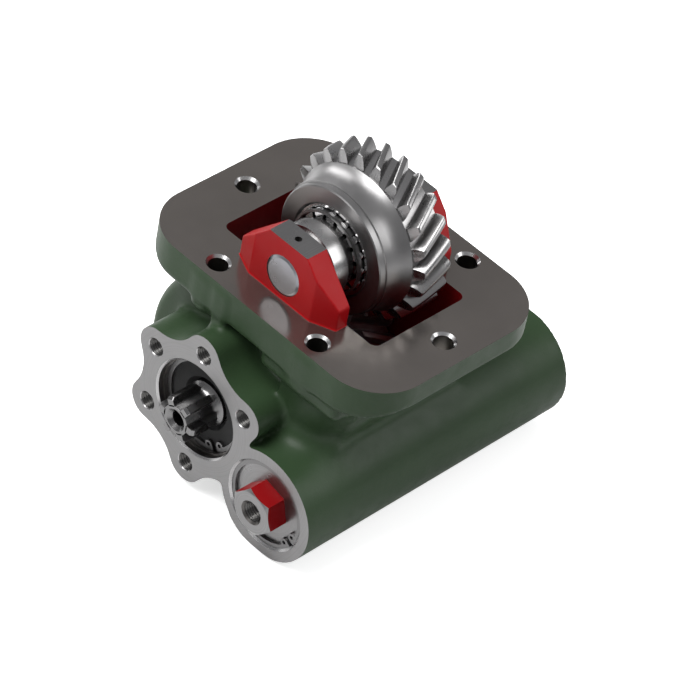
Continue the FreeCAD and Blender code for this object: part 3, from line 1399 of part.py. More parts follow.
def make_cap():
    """The cylinder cap: grooved disc, hexagon with the air port, O-ring and retaining ring."""
    disc = grooved("cylinder_cap_disc", shift_axis, cap_face, "Sizes.cap_width", "Sizes.cylinder_radius - 1")
    hex_front = "%s - Sizes.hex_length" % cap_face
    hexagon_bar = hexagon(
        "cylinder_cap_hexagon", size("hex_width"), hex_front, size("hex_length") + 1, shift_axis, size("hex_angle") + 90
    )
    corner = size("hex_width") / math.sqrt(3)
    slope = size("hex_chamfer")
    flat = size("hex_width") / 2 - 0.3
    shell = Part.makeCylinder(corner + 3, slope + 1, Vector(0, -1, 0), Vector(0, 1, 0))
    bevel_depth = (corner + 0.5 - flat) * math.tan(math.radians(30))
    keep = Part.makeCone(flat, corner + 0.5, bevel_depth, Vector(), Vector(0, 1, 0))
    shell = Part.makeCylinder(corner + 3, bevel_depth, Vector(), Vector(0, 1, 0)).cut(keep)
    bevel = shaped("cylinder_cap_bevel", shell)
    on_axis(bevel, shift_axis, hex_front)
    length = "Sizes.hex_length + Sizes.cap_width + 2"
    port = cylinder("air_port", shift_axis, "Sizes.port_radius", hex_front + " - 1", length)
    mouth = cone(
        "air_port_mouth",
        shift_axis,
        "Sizes.port_radius + 2 * Sizes.port_chamfer",
        "Sizes.port_radius",
        hex_front + " - Sizes.port_chamfer",
        "2 * Sizes.port_chamfer",
    )
    cap = taken_away("cylinder_cap", joined("cylinder_cap_blank", [disc, hexagon_bar]), [bevel, port, mouth])
    reach = "Sizes.cylinder_radius - Sizes.seal_cord - Sizes.fit_gap"
    seal = o_ring("cap_seal", shift_axis, reach, "%s + Sizes.cap_width / 2" % cap_face)
    ring = retaining_ring(
        "cap_retaining_ring",
        shift_axis,
        size("cylinder_radius"),
        "%s - Sizes.ring_width - Sizes.side_gap" % cap_face,
        size("lug_angle"),
    )
    return [cap, seal, ring]


def make_piston():
    """The piston with its seal, and the thin nut that holds it on the rod."""
    disc = grooved("shift_piston_disc", shift_axis, piston_start, "Sizes.piston_width", "Sizes.cylinder_radius - 1")
    nut_room = "Sizes.piston_nut_height + 2 * Sizes.side_gap"
    pocket = cylinder("piston_nut_pocket", shift_axis, "Sizes.piston_nut_radius + 1.5", piston_start + " - 1", nut_room + " + 1")
    way = cylinder(
        "piston_rod_way", shift_axis, "Sizes.rod_spigot + Sizes.fit_gap", piston_start + " - 1", "Sizes.piston_width + 2"
    )
    piston = taken_away("shift_piston", disc, [pocket, way])
    reach = "Sizes.cylinder_radius - Sizes.seal_cord - Sizes.fit_gap"
    seal = o_ring("piston_seal", shift_axis, reach, "%s + Sizes.piston_width / 2" % piston_start)
    width = size("piston_nut_radius") * math.sqrt(3)
    nut_bar = hexagon(
        "piston_nut_bar",
        width,
        "%s + Sizes.side_gap" % piston_start,
        size("piston_nut_height"),
        shift_axis,
        0,
    )
    nut_way = cylinder(
        "piston_nut_way", shift_axis, "Sizes.rod_spigot + Sizes.fit_gap", piston_start + " - 1", "Sizes.piston_width"
    )
    nut = taken_away("piston_nut", nut_bar, [nut_way])
    return [piston, seal, nut]


def make_rod():
    """The shift rod: spigot for the piston, guided bar, spigot for the spring collar."""
    front = "%s + 2 * Sizes.side_gap" % piston_start
    def from_front(station):
        return "(%s) - (%s)" % (station, front)
    shoulder = from_front("%s + Sizes.fit_gap" % piston_end)
    collar = from_front(collar_start)
    end = from_front("%s + Sizes.collar_width + 2 * Sizes.ring_width + Sizes.side_gap" % collar_start)
    ring_at = from_front("%s + Sizes.collar_width + Sizes.side_gap" % collar_start)
    ring_to = "%s + Sizes.ring_width" % ring_at
    spigot, bar = "Sizes.rod_spigot", "Sizes.rod_radius"
    corners = [
        ("0", "0"),
        (spigot + " - 0.8", "0"),
        (spigot, "0.8"),
        (spigot, shoulder),
        (bar, shoulder),
        (bar, collar),
        (spigot, collar),
        (spigot, ring_at),
        (spigot + " - 1", ring_at),
        (spigot + " - 1", ring_to),
        (spigot, ring_to),
        (spigot, end),
        ("0", end),
    ]
    rod = turned("shift_rod_bar", shift_axis, front, corners)
    pin_way = fork_pin_bar("rod_pin_way", size("fork_pin_radius") + size("fit_gap"), 2 * size("rod_radius"))
    return taken_away("shift_rod", rod, [pin_way])


def fork_pin_bar(name, radius, length):
    """A bar across the shift rod, square to the fork arm."""
    arm = Vector(-size("shift_offset_along"), 0, size("shift_offset_down")).normalize()
    across = Vector(arm.z, 0, -arm.x)
    bar = shaped(name, Part.makeCylinder(radius, length, across * (-length / 2), across))
    on_axis(bar, shift_axis, "%s + (Sizes.groove_width - 2 * Sizes.fork_gap) / 2" % fork_start)
    return bar


def make_fork():
    """The shift fork: a boss pinned to the rod and two prongs in the sleeve groove."""
    thick = size("groove_width") - 2 * size("fork_gap")
    along, down = size("shift_offset_along"), size("shift_offset_down")
    distance = math.hypot(along, down)
    lean = math.degrees(math.atan2(down, -along))
    boss = Part.makeCylinder(size("fork_boss"), thick, Vector(), Vector(0, 1, 0))
    arm = Part.makeBox(distance - size("groove_radius") - 2, thick, size("fork_arm"), Vector(0, 0, -size("fork_arm") / 2))
    ring = Part.makeCylinder(size("fork_radius"), thick, Vector(distance, 0, 0), Vector(0, 1, 0))
    open_side = Part.makeBox(2 * size("fork_radius"), thick, 2 * size("fork_radius"), Vector(distance, 0, -size("fork_radius")))
    inner = size("groove_radius") + size("fork_gap")
    way = Part.makeCylinder(inner, thick, Vector(distance, 0, 0), Vector(0, 1, 0))
    slot = Part.makeBox(size("fork_radius") + 1, thick, 2 * inner, Vector(distance, 0, -inner))
    open_side.translate(Vector(size("fork_radius") * 0.45, 0, 0))
    rod_way = Part.makeCylinder(size("rod_radius") + size("fit_gap"), thick, Vector(), Vector(0, 1, 0))
    form = boss.fuse([arm, ring]).cut(Part.makeCompound([open_side])).cut(way).cut(slot).cut(rod_way)
    form.rotate(Vector(), Vector(0, 1, 0), -lean)
    blank = shaped("shift_fork_blank", form.removeSplitter())
    on_axis(blank, shift_axis, fork_start)
    pin_way = fork_pin_bar("fork_pin_way", size("fork_pin_radius") + size("fit_gap"), 2 * size("fork_boss") + 2)
    fork = taken_away("shift_fork", blank, [pin_way])
    pin = fork_pin_bar("fork_pin", size("fork_pin_radius"), 2 * size("fork_boss") - 1)
    return [fork, pin]


def make_rod_seal():
    """The rod seal behind the cylinder, seated in the front guide."""
    inner = "Sizes.rod_radius + Sizes.fit_gap"
    outer = "Sizes.rod_radius + 2 * Sizes.seal_cord - Sizes.fit_gap"
    return flat_ring("rod_seal", shift_axis, inner, outer, drum_inside_front + " + Sizes.fit_gap", "2 * Sizes.seal_cord")


def make_spring_end():
    """Spring collar with its retaining ring, return spring and rear plug."""
    collar_corners = [
        ("Sizes.rod_spigot + Sizes.fit_gap", "0"),
        ("Sizes.collar_radius", "0"),
        ("Sizes.collar_radius", "Sizes.collar_width - 1.5"),
        ("Sizes.spring_radius - Sizes.spring_wire - 0.5", "Sizes.collar_width - 1.5"),
        ("Sizes.spring_radius - Sizes.spring_wire - 0.5", "Sizes.collar_width"),
        ("Sizes.rod_spigot + Sizes.fit_gap", "Sizes.collar_width"),
    ]
    collar = turned("spring_collar", shift_axis, "%s + Sizes.fit_gap" % collar_start, collar_corners)
    ring_from = "%s + Sizes.collar_width + Sizes.side_gap + Sizes.fit_gap" % collar_start
    ring_inner = "Sizes.rod_spigot - 1 + Sizes.fit_gap"
    thick = "Sizes.ring_width - 2 * Sizes.fit_gap"
    keeper = flat_ring("collar_keeper", shift_axis, ring_inner, "Sizes.rod_spigot + 2.5", ring_from, thick)
    seat = size("drum_rear") + size("collar_start") + size("collar_width") - 1.5 + size("fit_gap")
    plug_face = size("tube_rear") - size("plug_recess") - size("plug_width")
    wire = size("spring_wire")
    free = plug_face - seat - 2 * wire - 2 * size("side_gap")
    helix = Part.makeHelix(free / size("spring_turns"), free, size("spring_radius"))
    section = Part.Wire(Part.makeCircle(wire, Vector(size("spring_radius"), 0, 0), Vector(0, 1, 0)))
    coil = helix.makePipeShell([section], True, True)
    coil.rotate(Vector(), Vector(1, 0, 0), -90)
    spring = shaped("return_spring", coil)
    on_axis(spring, shift_axis, "%.6f" % (seat + wire + size("side_gap")))
    # the plug screws into the rear end of the tube against its seat
    depth = "Sizes.plug_width"
    plug_corners = [("0", "0"), ("Sizes.plug_radius", "0"), ("Sizes.plug_radius", depth), ("0", depth)]
    plug_bar = turned("rear_plug_bar", shift_axis, "%s + Sizes.fit_gap" % plug_start, plug_corners)
    socket = hexagon(
        "rear_plug_socket",
        size("plug_socket") * math.sqrt(3),
        "%s + Sizes.plug_width / 2" % plug_start,
        size("plug_width"),
        shift_axis,
        0,
    )
    plug = taken_away("rear_plug", plug_bar, [socket])
    return [collar, keeper, spring, plug]


def make_gear_washers():
    """Thrust washers on both sides of the output gear."""
    front = flat_ring(
        "front_gear_washer",
        output_axis,
        "Sizes.journal_radius + Sizes.fit_gap",
        "Sizes.gear_washer_radius",
        "%s + Sizes.side_gap" % gear_washer_front,
        "Sizes.gear_washer_thick",
    )
    rear = flat_ring(
        "rear_gear_washer",
        output_axis,
        "Sizes.journal_radius + Sizes.fit_gap",
        "Sizes.gear_washer_radius",
        gear_washer_rear,
        "Sizes.gear_washer_thick",
    )
    return [front, rear]


pieces = [make_housing()]
pieces += make_pin()
pieces += [make_idler_gear(), make_cone_spacer()]
pieces += bearing_pieces("front") + bearing_pieces("rear")
pieces += [make_shaft()] + make_output_gear() + make_gear_washers() + [make_sleeve()]
pieces += ball_bearing("front", front_bearing) + ball_bearing("rear", rear_bearing)
pieces += [make_shaft_seal()]
pieces += [
    retaining_ring(
        "seal_retaining_ring",
        output_axis,
        size("bearing_radius"),
        "%s - Sizes.ring_width - Sizes.side_gap" % seal_start,
        -60,
    )
]
pieces += make_rear_cover() + make_cap() + make_piston() + [make_rod()] + make_fork()
pieces += [make_rod_seal()] + make_spring_end()
doc.recompute()

for item in doc.Objects:
    if "Invalid" in item.State or "Error" in item.State:
        raise RuntimeError("failed: %s %s" % (item.Label, item.State))
for piece in pieces:
    if piece.Shape.isNull() or not piece.Shape.isValid():
        raise RuntimeError("no valid shape: " + piece.Label)
for piece in pieces:
    piece.Shape.exportStep("parts/%s.step" % piece.Label)
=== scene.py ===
import math

import bmesh
import bpy
import numpy as np
from mathutils import Matrix, Vector


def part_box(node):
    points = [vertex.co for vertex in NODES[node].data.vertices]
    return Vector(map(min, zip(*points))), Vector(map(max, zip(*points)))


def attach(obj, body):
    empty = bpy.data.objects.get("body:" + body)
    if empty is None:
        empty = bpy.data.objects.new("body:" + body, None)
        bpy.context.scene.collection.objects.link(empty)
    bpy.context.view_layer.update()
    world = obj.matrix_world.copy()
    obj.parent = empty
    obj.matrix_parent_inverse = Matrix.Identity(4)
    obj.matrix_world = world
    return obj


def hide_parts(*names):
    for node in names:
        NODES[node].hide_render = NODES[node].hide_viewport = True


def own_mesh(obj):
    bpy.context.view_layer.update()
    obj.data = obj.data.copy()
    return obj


bl_info = {
    "name": "Power take off unit",
    "version": (1, 0, 0),
    "blender": (4, 5, 0),
    "location": "3D View > Sidebar > Power take off",
    "description": "Dresses the packed power take off unit: casting, gears, threads, finishes and stage",
    "category": "Object",
}

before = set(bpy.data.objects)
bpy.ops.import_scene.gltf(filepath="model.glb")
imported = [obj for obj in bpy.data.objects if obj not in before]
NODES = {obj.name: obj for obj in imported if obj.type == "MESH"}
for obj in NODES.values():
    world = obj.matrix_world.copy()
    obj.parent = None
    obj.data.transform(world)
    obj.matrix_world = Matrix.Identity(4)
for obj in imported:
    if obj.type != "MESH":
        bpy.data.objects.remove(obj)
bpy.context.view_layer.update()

MM = 0.001

# Axes of the three shafts, in millimetres: X and Z. All run along +Y.
IDLER_AXIS = (0.0, 13.9)
OUTPUT_AXIS = (-15.7, -72.883)
SHIFT_AXIS = (39.92, -95.243)

# Flange, opening and holes
FLANGE_HALF = (86.0, 63.5)
FLANGE_CORNER = 30.0
FLANGE_THICK = 14.0
SKIRT_DEPTH = 6.3
SKIRT_RUN = 23.5
NECK_HALF = (62.5, 42.0)
OPENING_HALF = (54.5, 32.1)
OPENING_CORNER = 4.0
END_BOLTS = [(70.65, 0.0), (-70.65, 0.0)]
SIDE_BOLTS = [(35.5, 53.0), (-35.5, 53.0), (35.5, -53.0), (-35.5, -53.0)]
BOLT_SPOTS = END_BOLTS + SIDE_BOLTS
BOLT_RADIUS = 5.25
BOLT_CHAMFER = 1.35

# Output flange with its five lobes, and the shift cylinder beside it
STAR_FACE = -75.3
STAR_REACH = 36.8
STAR_LOBE = 11.3
STAR_ANGLES = (30, 90, 150, 210, 270)
WAIST_CENTRE = 62.2
WAIST_RADIUS = 24.0
STAR_DISC = 43.35
TAP_RADIUS = 4.25
THREAD_DEPTH = 0.62
TUBE_RADIUS = 30.75
TUBE_REAR = 114.3
CYLINDER_RADIUS = 24.35

# Bores: radii, and the stations where they step
PILOT_BORE = 27.15
BEARING_BORE = 26.05
SEAL_RING_GROOVE = 27.2
CAP_RING_GROOVE = 25.55
ROD_BORE = 7.05
SPRING_BORE = 20.0
PLUG_BORE = 22.05
PLUG_SEAT = 98.8
BEARING_STOP = -44.85

# Gear case
DRUM_RADIUS = 62.4
CAVITY_RADIUS = 52.0
DRUM_WALL = 8.0
DRUM_FRONT = -49.0
DRUM_REAR = 41.0
LEAN_START = 40.0
LEAN_END = 64.0
LEAN_RUN = 12.0
GROUND = SHIFT_AXIS[1] - TUBE_RADIUS
CAVITY_ENDS = (DRUM_FRONT + DRUM_WALL, DRUM_REAR - DRUM_WALL)
GUIDE_RADIUS = 13.0
GUIDE_LENGTH = 7.0
REAR_BOSS = 36.0
BOSS_RADIUS = 11.0

# Lowest and highest corners of the cast blocks under the flange
RIB = ((-25.2, -64.0, -40.0), (-16.2, -40.0, -4.0))
PAD = ((7.0, -61.5, -31.0), (62.0, -30.0, -3.0))
WALL = ((0.0, -57.0, -100.0), (74.0, -30.0, -10.0))
WALL_LEFT = 20.0

# Metal left on the faces that are machined afterwards
ALLOWANCE = 4.0


# Settings that a user would change

class CastingSettings(bpy.types.PropertyGroup):
    paint: bpy.props.FloatVectorProperty(
        name="Case paint", description="Colour of the painted casting", subtype="COLOR", size=3,
        min=0, max=1, default=(0.026, 0.050, 0.022),
    )
    red: bpy.props.FloatVectorProperty(
        name="Red paint", description="Colour of the ears and of the inside of the case", subtype="COLOR",
        size=3, min=0, max=1, default=(0.32, 0.005, 0.007),
    )
    step: bpy.props.FloatProperty(
        name="Casting detail", description="Size of the mesh of the casting", unit="LENGTH",
        min=0.0008, max=0.004, default=0.0015,
    )
    grain: bpy.props.FloatProperty(
        name="Casting grain", description="Strength of the sand-cast surface", min=0, max=1, default=0.35,
    )


class GearSettings(bpy.types.PropertyGroup):
    teeth: bpy.props.IntProperty(
        name="Teeth", description="Teeth of the idler gear", default=23, min=12, max=60
    )
    module: bpy.props.FloatProperty(
        name="Normal module", description="Normal module of the teeth", unit="LENGTH", default=0.00325,
        min=0.001, max=0.01,
    )
    helix: bpy.props.FloatProperty(
        name="Helix angle", description="Helix angle of the teeth", subtype="ANGLE",
        default=math.radians(30), min=0, max=math.radians(45),
    )
    steel: bpy.props.FloatVectorProperty(
        name="Steel", description="Colour of the ground gear steel", subtype="COLOR", size=3,
        min=0, max=1, default=(0.36, 0.355, 0.355),
    )


class MetalSettings(bpy.types.PropertyGroup):
    polished: bpy.props.FloatVectorProperty(
        name="Polished steel", description="Colour of shafts, rings and rollers", subtype="COLOR", size=3,
        min=0, max=1, default=(0.46, 0.455, 0.455),
    )
    milled: bpy.props.FloatVectorProperty(
        name="Milled casting", description="Colour of the machined faces of the casting", subtype="COLOR",
        size=3, min=0, max=1, default=(0.235, 0.232, 0.232),
    )
    flange: bpy.props.FloatVectorProperty(
        name="Flange face", description="Colour of the machined flange face", subtype="COLOR", size=3,
        min=0, max=1, default=(0.185, 0.168, 0.155),
    )


class StageSettings(bpy.types.PropertyGroup):
    floor: bpy.props.FloatVectorProperty(
        name="Floor", description="Colour of the floor", subtype="COLOR", size=3, min=0, max=1,
        default=(0.9, 0.9, 0.9),
    )
    key: bpy.props.FloatProperty(
        name="Key light", description="Power of the main soft light", default=5.0, min=0
    )
    fill: bpy.props.FloatProperty(
        name="Fill light", description="Power of the fill light", default=1.5, min=0
    )


def settings(group):
    return getattr(bpy.context.scene, "pto_" + group)


# Materials

def effect_group(name, inputs):
    """A node group with these inputs; its outputs are height, tone and roughness."""
    tree = bpy.data.node_groups.new(name, "ShaderNodeTree")
    socket = tree.interface.new_socket
    for key, value in inputs.items():
        socket(name=key, in_out="INPUT", socket_type="NodeSocketFloat").default_value = value
    for key in ("Height", "Tone", "Roughness"):
        socket(name=key, in_out="OUTPUT", socket_type="NodeSocketFloat")
    given = tree.nodes.new("NodeGroupInput").outputs
    results = tree.nodes.new("NodeGroupOutput").inputs
    return tree, given, results, tree.nodes.new("ShaderNodeTexCoord").outputs["Object"]


def node(tree, kind, inputs=None, **fields):
    """A node with its fields set; inputs are values or sockets to link from."""
    made = tree.nodes.new(kind)
    for key, value in fields.items():
        setattr(made, key, value)
    for key, value in (inputs or {}).items():
        if isinstance(value, bpy.types.NodeSocket):
            tree.links.new(value, made.inputs[key])
        else:
            made.inputs[key].default_value = value
    return made


def math_node(tree, operation, *values):
    return node(tree, "ShaderNodeMath", dict(enumerate(values)), operation=operation).outputs[0]


def noise(tree, place, scale, detail):
    inputs = {"Vector": place, "Scale": scale, "Detail": detail}
    return node(tree, "ShaderNodeTexNoise", inputs).outputs["Fac"]


def cast_grain_group():
    """Sand-cast surface: fine grain, soft dimples and a slow change of tone."""
    if "cast_grain" in bpy.data.node_groups:
        return bpy.data.node_groups["cast_grain"]
    tree, given, results, place = effect_group("cast_grain", {"Grain": 0.5})
    fine = noise(tree, place, 900.0, 3.0)
    soft = noise(tree, place, 130.0, 2.0)
    slow = noise(tree, place, 24.0, 3.0)
    tree.links.new(math_node(tree, "MULTIPLY_ADD", fine, given["Grain"], soft), results["Height"])
    tree.links.new(math_node(tree, "MULTIPLY_ADD", slow, 0.36, 0.82), results["Tone"])
    tree.links.new(math_node(tree, "MULTIPLY_ADD", soft, 0.16, -0.08), results["Roughness"])
    return tree


def tool_marks_group():
    """Marks of a tool: rings round an axis along Y, or straight feed lines, with a fine scatter."""
    if "tool_marks" in bpy.data.node_groups:
        return bpy.data.node_groups["tool_marks"]
    inputs = {"Centre X": 0.0, "Centre Z": 0.0, "Rings": 1.0, "Pitch": 2500.0}
    tree, given, results, place = effect_group("tool_marks", inputs)
    parts = node(tree, "ShaderNodeSeparateXYZ", {0: place}).outputs
    across = math_node(tree, "SUBTRACT", parts["X"], given["Centre X"])
    up = math_node(tree, "SUBTRACT", parts["Z"], given["Centre Z"])
    square = math_node(tree, "MULTIPLY_ADD", across, across, math_node(tree, "MULTIPLY", up, up))
    reach = math_node(tree, "SQRT", square)
    line = node(tree, "ShaderNodeMix", {0: given["Rings"], 2: parts["X"], 3: reach}, data_type="FLOAT")
    slow = noise(tree, place, 60.0, 2.0)
    bent = math_node(tree, "MULTIPLY_ADD", slow, 0.0006, line.outputs[0])
    run = math_node(tree, "MULTIPLY", bent, given["Pitch"])
    wave = math_node(tree, "SINE", math_node(tree, "MULTIPLY", run, 2 * math.pi))
    lines = node(tree, "ShaderNodeTexNoise", {"W": run, "Scale": 1.0, "Detail": 2.0}, noise_dimensions="1D")
    lines = lines.outputs["Fac"]
    tree.links.new(math_node(tree, "MULTIPLY_ADD", wave, 0.2, lines), results["Height"])
    tree.links.new(math_node(tree, "MULTIPLY_ADD", lines, 0.25, 0.87), results["Tone"])
    tree.links.new(math_node(tree, "MULTIPLY_ADD", slow, 0.25, -0.125), results["Roughness"])
    return tree


def shaded(name, group, group_values, colour, roughness, metallic, bump, distance, shine=0.5):
    """A material whose colour, roughness and relief come from one of the shared effects."""
    if name in bpy.data.materials:
        return bpy.data.materials[name]
    material = bpy.data.materials.new(name)
    material.use_nodes = True
    material.diffuse_color = (*colour, 1)
    tree = material.node_tree
    shader = tree.nodes["Principled BSDF"].inputs
    effect = node(tree, "ShaderNodeGroup", node_tree=group)
    for key, value in group_values.items():
        effect.inputs[key].default_value = value
    effect = effect.outputs
    mixed = {0: 1.0, 6: (*colour, 1), 7: effect["Tone"]}
    tint = node(tree, "ShaderNodeMix", mixed, data_type="RGBA", blend_type="MULTIPLY")
    tree.links.new(tint.outputs[2], shader["Base Color"])
    tree.links.new(math_node(tree, "ADD", effect["Roughness"], roughness), shader["Roughness"])
    relief = {"Height": effect["Height"], "Strength": bump, "Distance": distance}
    relief = node(tree, "ShaderNodeBump", relief)
    tree.links.new(relief.outputs["Normal"], shader["Normal"])
    shader["Metallic"].default_value = metallic
    shader["Specular IOR Level"].default_value = shine
    return material


def toned(colour, share):
    """A colour made darker or lighter."""
    return [channel * share for channel in colour]


def paint(name, colour, roughness=0.42, bump=0.35, shine=0.22):
    """Satin paint over the sand-cast surface."""
    grain = {"Grain": settings("casting").grain}
    return shaded(name, cast_grain_group(), grain, tuple(colour), roughness, 0.0, bump, 0.0004, shine)


def metal(name, colour, roughness, centre=IDLER_AXIS, pitch=2500.0, bump=0.12, metallic=1.0, rings=1.0):
    """Machined metal with rings about an axis, or with straight feed lines where rings is 0."""
    values = {"Centre X": centre[0] * MM, "Centre Z": centre[1] * MM, "Rings": rings, "Pitch": pitch}
    return shaded(name, tool_marks_group(), values, tuple(colour), roughness, metallic, bump, 0.00005)


def even_metal(name, colour, roughness, metallic=1.0, bump=0.015):
    """Ground or worn steel with no tool lines, only a slow change of gloss."""
    return shaded(name, cast_grain_group(), {"Grain": 0.0}, tuple(colour), roughness, metallic, bump, 0.0002)


def spring_steel():
    return metal("spring_black", (0.05, 0.05, 0.05), 0.32, SHIFT_AXIS, 900.0, 0.1)


# Bore metal darkened to a painted shade, for holes and bores
def bore_painted_shade():
    return metal("bored_casting_painted_shade", (0.11, 0.105, 0.10), 0.38, OUTPUT_AXIS, 1200.0, 0.2)


# Meshes

def set_materials(mesh, *materials):
    mesh.materials.clear()
    for material in materials:
        mesh.materials.append(material)


def faces_where(mesh, index, test):
    """Give the faces that pass a test another of the mesh's materials."""
    for face in mesh.polygons:
        if test(face.center / MM, face.normal):
            face.material_index = index


def new_object(name, mesh, body, replaced=()):
    piece = bpy.data.objects.new(name, mesh)
    bpy.context.scene.collection.objects.link(piece)
    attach(piece, body)
    if replaced:
        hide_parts(*replaced)
    return piece


def smooth(mesh, degrees=35):
    mesh.shade_smooth()
    mesh.set_sharp_from_angle(angle=math.radians(degrees))


def mesh_from(name, corners, faces):
    """A mesh from corners in millimetres."""
    mesh = bpy.data.meshes.new(name)
    mesh.from_pydata([tuple(corner) for corner in np.asarray(corners, float) * MM], [], faces)
    mesh.update()
    return mesh


def strips(rows, count, closed=False):
    """Faces between rows of corners, each row a loop; closed joins the last row to the first."""
    faces = []
    for row in range(rows if closed else rows - 1):
        low, high = row * count, (row + 1) % rows * count
        for step in range(count):
            after = (step + 1) % count
            faces.append((low + step, low + after, high + after, high + step))
    return faces


def lathe(profile, centre, segments=96, upright=False):
    """Corners and faces of a closed solid: (radius, station) pairs spun about +Y, or about +Z."""
    corners, faces, rings = [], [], []
    for radius, station in profile:
        count = segments if radius > 0 else 1
        rings.append(range(len(corners), len(corners) + count))
        for step in range(count):
            turn = 2 * math.pi * step / segments
            corners.append((radius * math.cos(turn), station, radius * math.sin(turn)))
    after_rings = rings[1:] + (rings[:1] if profile[0][0] > 0 else [])
    for low, high in zip(rings, after_rings):
        for step in range(segments):
            after = (step + 1) % segments
            if len(low) == 1:
                faces.append((low[0], high[after], high[step]))
            elif len(high) == 1:
                faces.append((low[step], low[after], high[0]))
            else:
                faces.append((low[step], low[after], high[after], high[step]))
    x, y, z = np.array(corners).T
    if upright:
        return np.stack([x + centre[0], centre[1] - z, y], axis=1), faces
    return np.stack([x + centre[0], y, z + centre[1]], axis=1), faces


def bar(radius, start, finish, centre, segments=96, upright=False):
    return lathe([(0, start), (radius, start), (radius, finish), (0, finish)], centre, segments, upright)


def loft(rows):
    """Corners and faces of a solid through rows of corners, capped at both ends."""
    count = len(rows[0])
    corners = [corner for row in rows for corner in row]
    caps = [tuple(range(count))[::-1], tuple(range(len(corners) - count, len(corners)))]
    return np.array(corners), caps + strips(len(rows), count)


def block(x, y, z):
    """A box between two values of each of X, Y and Z."""
    outline = [(x[0], y[0]), (x[1], y[0]), (x[1], y[1]), (x[0], y[1])]
    return loft([[(*corner, level) for corner in outline] for level in z])


def rounded_rectangle(half, corner, steps=10):
    points = []
    for quarter, (right, far) in enumerate(((1, 1), (-1, 1), (-1, -1), (1, -1))):
        for step in range(steps + 1):
            turn = math.pi / 2 * (quarter + step / steps)
            x = right * (half[0] - corner) + corner * math.cos(turn)
            points.append((x, far * (half[1] - corner) + corner * math.sin(turn)))
    return points


def solid_piece(name, solid, body, slot_name, replaced, *materials):
    """A piece made of closed solids, in its materials."""
    mesh = mesh_from(name, *solid)
    outward(mesh)
    set_materials(mesh, *materials)
    return new_object(name, mesh, body, replaced)


def together(*solids):
    """Several solids as one set of corners and faces."""
    corners, faces, start = [], [], 0
    for points, sides in solids:
        corners.append(np.asarray(points, float))
        faces += [tuple(index + start for index in side) for side in sides]
        start += len(points)
    return np.concatenate(corners), faces


def outward(mesh):
    shape = bmesh.new()
    shape.from_mesh(mesh)
    bmesh.ops.recalc_face_normals(shape, faces=shape.faces)
    shape.to_mesh(mesh)
    shape.free()


def cut_with(target, solid, operation="DIFFERENCE"):
    """Cut a solid out of an object, or join it on."""
    mesh = mesh_from("cutter", *solid)
    outward(mesh)
    cutter = bpy.data.objects.new("cutter", mesh)
    bpy.context.scene.collection.objects.link(cutter)
    step = target.modifiers.new("cut", "BOOLEAN")
    step.operation = operation
    step.solver = "MANIFOLD"
    step.object = cutter
    made = bpy.data.meshes.new_from_object(target.evaluated_get(bpy.context.evaluated_depsgraph_get()))
    if len(made.polygons) < 50:
        raise RuntimeError("a cut left nothing of " + target.name)
    target.modifiers.clear()
    target.data = made
    bpy.data.objects.remove(cutter)


# Distance fields: the casting is a blend of plain forms, as a pattern maker fillets them

def blend(first, second, radius):
    """Union with a fillet."""
    share = np.maximum(radius - np.abs(first - second), 0.0) / radius
    return np.minimum(first, second) - share * share * radius / 4


def meet(first, second, radius):
    """Intersection with a rounded edge."""
    return -blend(-first, -second, radius)


def slab(value, low, high):
    return np.maximum(low - value, value - high)


def edge_round(side, end, radius):
    """A wall and an end face that meet in a quarter round."""
    a = np.maximum(side + radius, 0.0)
    b = np.maximum(end + radius, 0.0)
    return np.hypot(a, b) + np.minimum(np.maximum(side, end) + radius, 0.0) - radius


def about_output(reach, angle):
    """X and Z of a point round the output axis, its angle in degrees."""
    turn = math.radians(angle)
    return OUTPUT_AXIS[0] + reach * math.cos(turn), OUTPUT_AXIS[1] + reach * math.sin(turn)


TAP_SPOTS = [about_output(STAR_REACH, angle) for angle in STAR_ANGLES]


def plate_distance(x, y, half, corner):
    dx = np.abs(x) - half[0] + corner
    dy = np.abs(y) - half[1] + corner
    return np.hypot(np.maximum(dx, 0.0), np.maximum(dy, 0.0)) + np.minimum(np.maximum(dx, dy), 0.0) - corner


def bar_distance(x, z, axis, radius):
    return np.hypot(x - axis[0], z - axis[1]) - radius


def box_distance(x, y, z, box, radius):
    """Distance to a box with rounded edges, given by its lowest and highest corners."""
    out = [np.abs(v - (a + b) / 2) - ((b - a) / 2 - radius) for v, a, b in zip((x, y, z), *box)]
    far = np.sqrt(sum(np.maximum(side, 0.0) ** 2 for side in out))
    return far + np.minimum(np.maximum(np.maximum(out[0], out[1]), out[2]), 0.0) - radius


def star_distance(x, z):
    """Outline of the output flange: a disc and five lobes, hollowed between them."""
    form = bar_distance(x, z, OUTPUT_AXIS, STAR_DISC)
    for spot in TAP_SPOTS:
        form = np.minimum(form, bar_distance(x, z, spot, STAR_LOBE))
    for angle in range(0, 360, 60):
        form = np.maximum(form, -bar_distance(x, z, about_output(WAIST_CENTRE, angle), WAIST_RADIUS))
    return form


